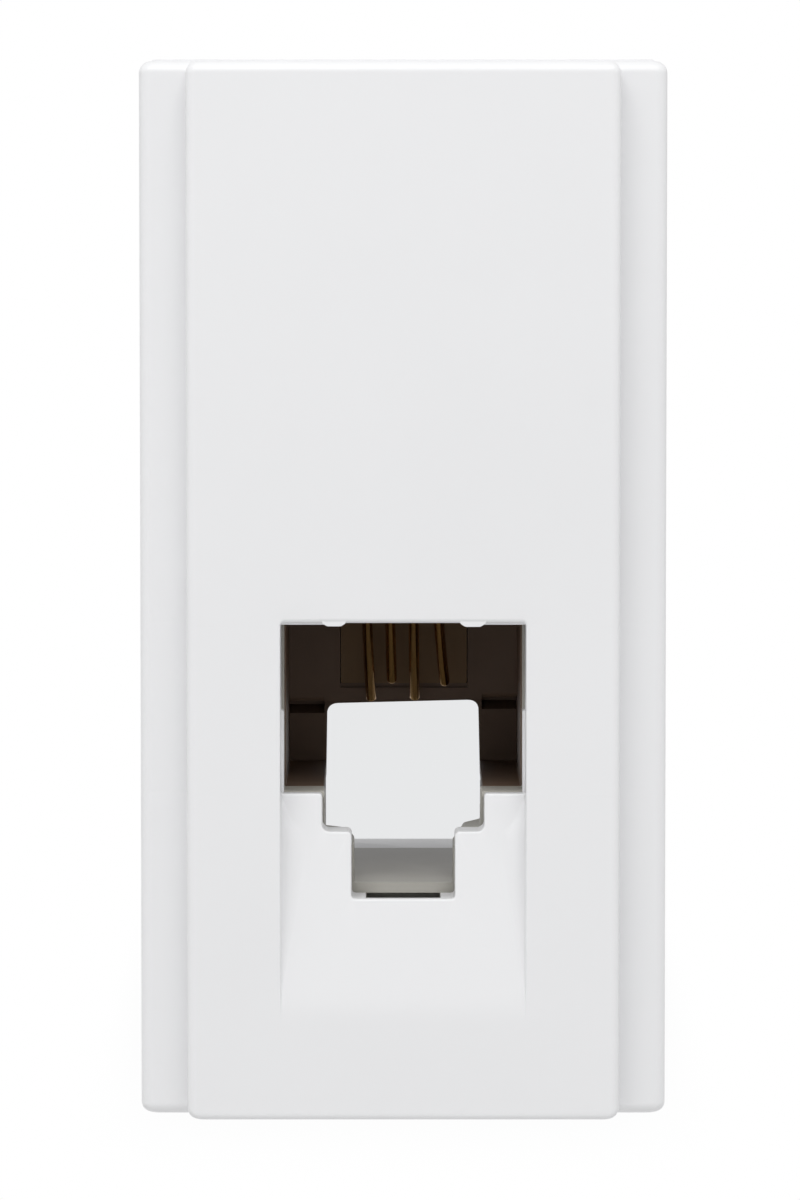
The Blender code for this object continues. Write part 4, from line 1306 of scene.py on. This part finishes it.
@dataclass
class TerminalScrew:
    """Nickel-plated clamp screw with a rolled thread, a domed head and a driver slot."""

    pole: int
    turned: float                       # the slot's angle in degrees
    tip: float = 11.8 * MM
    seat: float = 15.6 * MM
    top: float = 16.8 * MM
    core: float = 0.56 * MM
    crest: float = 0.7 * MM
    pitch: float = 0.36 * MM
    head: float = 1.2 * MM
    slot: Pair = mm(0.2, 0.62)          # half width and depth
    relief: float = 0.12 * MM           # how much thinner the shank is at both ends of the thread
    fades: Pair = mm(0.4, 0.3)          # lengths over which the thread starts and ends
    rim: float = 0.06 * MM              # rounding of the head's lower edge
    dome: float = 0.32 * MM
    flatness: float = 0.6               # power that flattens the dome
    sides: int = 36
    rows: int = 128                     # rings on the shank

    def rings(self) -> tuple[np.ndarray, np.ndarray, np.ndarray]:
        """Work out the screw's radius by depth and angle.

        The shank's radius is the core plus a triangular wave of y over the pitch less the angle over a full
        turn, faded out at both ends; the head's is a plain profile with a flat dome.

        Returns:
            Radii as rings x sides, depths of the rings, and angles.
        """
        angle = np.linspace(0.0, FULL_TURN, self.sides, endpoint=False)[None]
        y = np.linspace(self.tip, self.seat, self.rows)[:, None]
        phase = (y - self.tip) / self.pitch - angle / FULL_TURN
        wave = 1.0 - np.abs(2.0 * (phase - np.floor(phase)) - 1.0)
        fade = np.clip((y - self.tip) / self.fades[0], 0.0, 1.0) * np.clip((self.seat - y) / self.fades[1], 0.0, 1.0)
        shank = self.core - self.relief * (1.0 - fade) + (self.crest - self.core) * wave * fade
        turn = np.linspace(0.0, QUARTER_TURN, 7)
        crown = np.linspace(0.0, 1.0, 9) * QUARTER_TURN
        radius = np.concatenate([[self.head - self.rim], self.head - self.rim * (1.0 - np.sin(turn)),
                                 self.head * np.cos(crown) ** self.flatness])
        height = np.concatenate([[self.seat], self.seat + self.rim * (1.0 - np.cos(turn)),
                                 self.top - self.dome + self.dome * np.sin(crown)])
        radii = np.concatenate([np.zeros((1, self.sides)), shank, np.repeat(radius[:, None], self.sides, axis=1)])
        return radii, np.concatenate([[self.tip], y[:, 0], height])[:, None], angle

    def build(self, finish: bpy.types.Material) -> bpy.types.Object:
        """Turn the profile about the screw's axis and cut the slot.

        Args:
            finish: its material.

        Returns:
            The finished piece.
        """
        low, high = (np.array(corner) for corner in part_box(f"terminal_screw_{self.pole}"))
        middle = 0.5 * (low + high)
        rings, depth, angle = self.rings()
        points = np.stack(np.broadcast_arrays(
            middle[0] + rings * np.cos(angle), depth, middle[2] + rings * np.sin(angle)), axis=-1)
        faces = grid_quads(*rings.shape, wrap=True).tolist()
        screw = link("screw_blank", make_mesh("screw_blank", points.reshape(-1, 3), faces))
        half, deep = self.slot
        lean = math.radians(self.turned)
        along = np.array([math.cos(lean), math.sin(lean)]) * 1.5 * MM
        aside = np.array([-math.sin(lean), math.cos(lean)]) * half
        outline = middle[[0, 2]] + np.array([along + aside, aside - along, -along - aside, along - aside])
        mesh = carve(screw, [block("driver_slot", outline, (self.top - deep, self.top + 0.5 * MM))], [])
        return place_piece(f"clamp_screw_{self.pole}", mesh, finish, (f"terminal_screw_{self.pole}",))


@dataclass
class Studio:
    """White studio: a pale floor below the part, one large soft key and even light all round."""

    camera_elevation: float = 4.2           # degrees
    camera_distance: float = 300.0 * MM
    lens: float = 212.8                     # focal length in Blender's millimetres
    aim: Triple = mm(-0.135, -9.15, -0.318)
    ambient: float = 0.33
    side_light: float = 0.62
    back_light: float = 0.06
    front_shade: float = 0.5                # how much darker the front is in mirror images
    front_from: Pair = (-0.45, -0.92)       # facings along y between which it darkens
    backdrop_shade: float = 0.25            # the same for the back
    back_from: Pair = (0.1, 0.8)
    key_power: float = 0.535
    key_size: float = 0.24
    key_place: Triple = (-0.014, -0.19, 0.235)
    floor_drop: float = 60.0 * MM
    floor_radius: float = 3.0
    floor_paint: float = 0.80
    glow_from: Pair = (0.10, 0.30)          # distances between which more of the floor glows white
    shade_band_half: Pair = (0.034, 0.017)        # soft edge in x of the painted shade band behind the part: a grey patch in the floor's white glow that shows through the part's window
    shade_band_start: Pair = (0.35, 0.60)         # its soft ends along y
    shade_band_end: Pair = (1.6, 1.1)
    shade_band_tint: Triple = (0.800, 0.808, 0.816)

    def build(self) -> None:
        """Make camera, lights, world and floor."""
        self.make_camera()
        self.make_key()
        self.make_world()
        self.make_floor()
        bpy.context.scene.view_settings.view_transform = "Standard"
        LOG.info("studio ready")

    def make_camera(self) -> None:
        """Aim a long lens at the panel from slightly above."""
        camera = link("camera", bpy.data.cameras.new("camera"))
        camera.data.lens = self.lens
        camera.data.clip_start = 0.01
        rise = math.radians(self.camera_elevation)
        back = Vector((0.0, -math.cos(rise), math.sin(rise)))
        camera.location = Vector(self.aim) + back * self.camera_distance
        camera.rotation_euler = back.to_track_quat("Z", "Y").to_euler()
        bpy.context.scene.camera = camera

    def make_key(self) -> None:
        """Hang a large square lamp in front, above and to the left."""
        lamp = bpy.data.lights.new("key", "AREA")
        lamp.energy = self.key_power
        lamp.size = self.key_size
        key = link("key", lamp)
        key.location = self.key_place
        key.rotation_euler = Vector(self.key_place).to_track_quat("Z", "Y").to_euler()

    def make_world(self) -> None:
        """White where it is seen, softer where it lights: more from both sides and from behind than in front."""
        world = bpy.data.worlds.new("studio")
        bpy.context.scene.world = world
        tree = ShaderTree(world)
        path = tree.node("ShaderNodeLightPath")
        toward = tree.node("ShaderNodeTexCoord")["Generated"]
        parts = tree.node("ShaderNodeSeparateXYZ", inputs={"Vector": toward})
        facing = parts["Y"]
        dim = 1.0 - facing.ramp(*self.front_from) * self.front_shade
        behind = facing.ramp(*self.back_from)
        light = abs(parts["X"]) * self.side_light + behind * self.back_light + self.ambient
        seen = path["Is Camera Ray"].math("MAXIMUM", path["Is Transmission Ray"])
        mirrored = path["Is Glossy Ray"]
        mirror = dim - behind * self.backdrop_shade
        strength = seen + mirrored * mirror + (1.0 - seen.math("MAXIMUM", mirrored)) * light
        background = tree.node("ShaderNodeBackground", inputs={"Color": (*WHITE, 1.0), "Strength": strength})
        tree.node("ShaderNodeOutputWorld", inputs={"Surface": background["Background"]})

    def make_floor(self) -> None:
        """Lay a pale disc below the part: it keeps the part's shadow and reads white further off, except for a band of
        painted shade far behind the part.
        """
        level = CAD_BOX[0][2] - self.floor_drop
        turn = np.linspace(0.0, FULL_TURN, 96, endpoint=False)
        rings = np.array([0.0, 0.1, 0.3, 1.0]) * self.floor_radius
        points = np.stack([np.outer(rings, np.cos(turn)), np.outer(rings, np.sin(turn)),
                           np.full((rings.size, turn.size), level)], axis=-1)
        mesh = make_mesh("floor", points.reshape(-1, 3), grid_quads(*points.shape[:2], wrap=True).tolist())
        floor = link("floor", mesh)
        material = bpy.data.materials.new("floor_paint")
        tree = ShaderTree(material)
        across, deep, _ = tree.axes()
        distance = (across * across + deep * deep).math("SQRT")
        glow = distance.ramp(*self.glow_from) * 0.5 + 0.5
        path = tree.node("ShaderNodeLightPath")
        seen = path["Is Camera Ray"].math("MAXIMUM", path["Is Glossy Ray"]).math(
            "MAXIMUM", path["Is Transmission Ray"])
        paint = tree.node("ShaderNodeBsdfDiffuse", inputs={
            "Color": (self.floor_paint, self.floor_paint, self.floor_paint, 1.0)})
        # painted shade: a grey band in the floor's white glow far behind the part. It stands in for the darker backdrop
        # that shows through the part's window.
        band = abs(across).ramp(*self.shade_band_half) * deep.ramp(*self.shade_band_start) * deep.ramp(*self.shade_band_end)
        glow_with_painted_shade = tree.mix(band, WHITE, self.shade_band_tint)
        light = tree.node("ShaderNodeEmission", inputs={"Color": glow_with_painted_shade, "Strength": 1.0})
        both = tree.node("ShaderNodeMixShader", inputs={
            "Fac": glow * seen, 1: paint["BSDF"], 2: light["Emission"]})
        tree.surface(both, "Shader")
        mesh.materials.append(material)


def main() -> None:
    """Dress the solids, add the fine pieces and light the scene."""
    logging.basicConfig(level=logging.INFO, format="%(message)s")
    white = MouldedPlastic("white_gloss", (0.85, 0.852, 0.862), 0.33, shade=0.985, cloud=14.0 * MM,
                           wave_depth=0.002 * MM).material()
    housing = MouldedPlastic("white_matte", (0.80, 0.80, 0.81), 0.5, grain_depth=0.0015 * MM).material()
    jack = MouldedPlastic("pale_grey", (0.47, 0.455, 0.41), 0.42).material()
    lining = MouldedPlastic("dark_brown", (0.178, 0.116, 0.080), 0.55, shade=0.8, level=0.3).material()
    carrier = MouldedPlastic("brown", (0.215, 0.130, 0.062), 0.55, shade=0.85, level=0.3).material()
    terminal = MouldedPlastic("grey", (0.32, 0.34, 0.35), 0.5).material()
    gold = Plating("gold", (0.66, 0.38, 0.135), 0.11, tarnish_share=0.2, line_depth=0.0004 * MM).material()
    nickel = Plating("nickel", (0.66, 0.63, 0.58), 0.3, tarnish=(0.4, 0.36, 0.3)).material()
    tinned = Plating("tinned", (0.72, 0.70, 0.66), 0.35, tarnish=(0.4, 0.38, 0.34)).material()
    board = Laminate("laminate").material()
    FrontCover().build(white)
    JackHousing().build(jack)
    ContactBlock().build(lining)
    ContactCarrier().build(carrier)
    ContactWires().build(gold)
    RearHousing().build(housing)
    for pole, turned in enumerate((12.0, 96.0, 67.0, 141.0), start=1):
        TerminalScrew(pole, turned).build(nickel)
    dress("terminal_block", terminal, EdgeFinish(0.1 * MM))
    dress("circuit_board", board)
    for pole in range(1, 5):
        dress(f"terminal_cage_{pole}", tinned, EdgeFinish(0.06 * MM))
        dress(f"terminal_pin_{pole}", tinned, EdgeFinish(0.05 * MM))
    Studio().build()


if __name__ == "__main__":
    main()
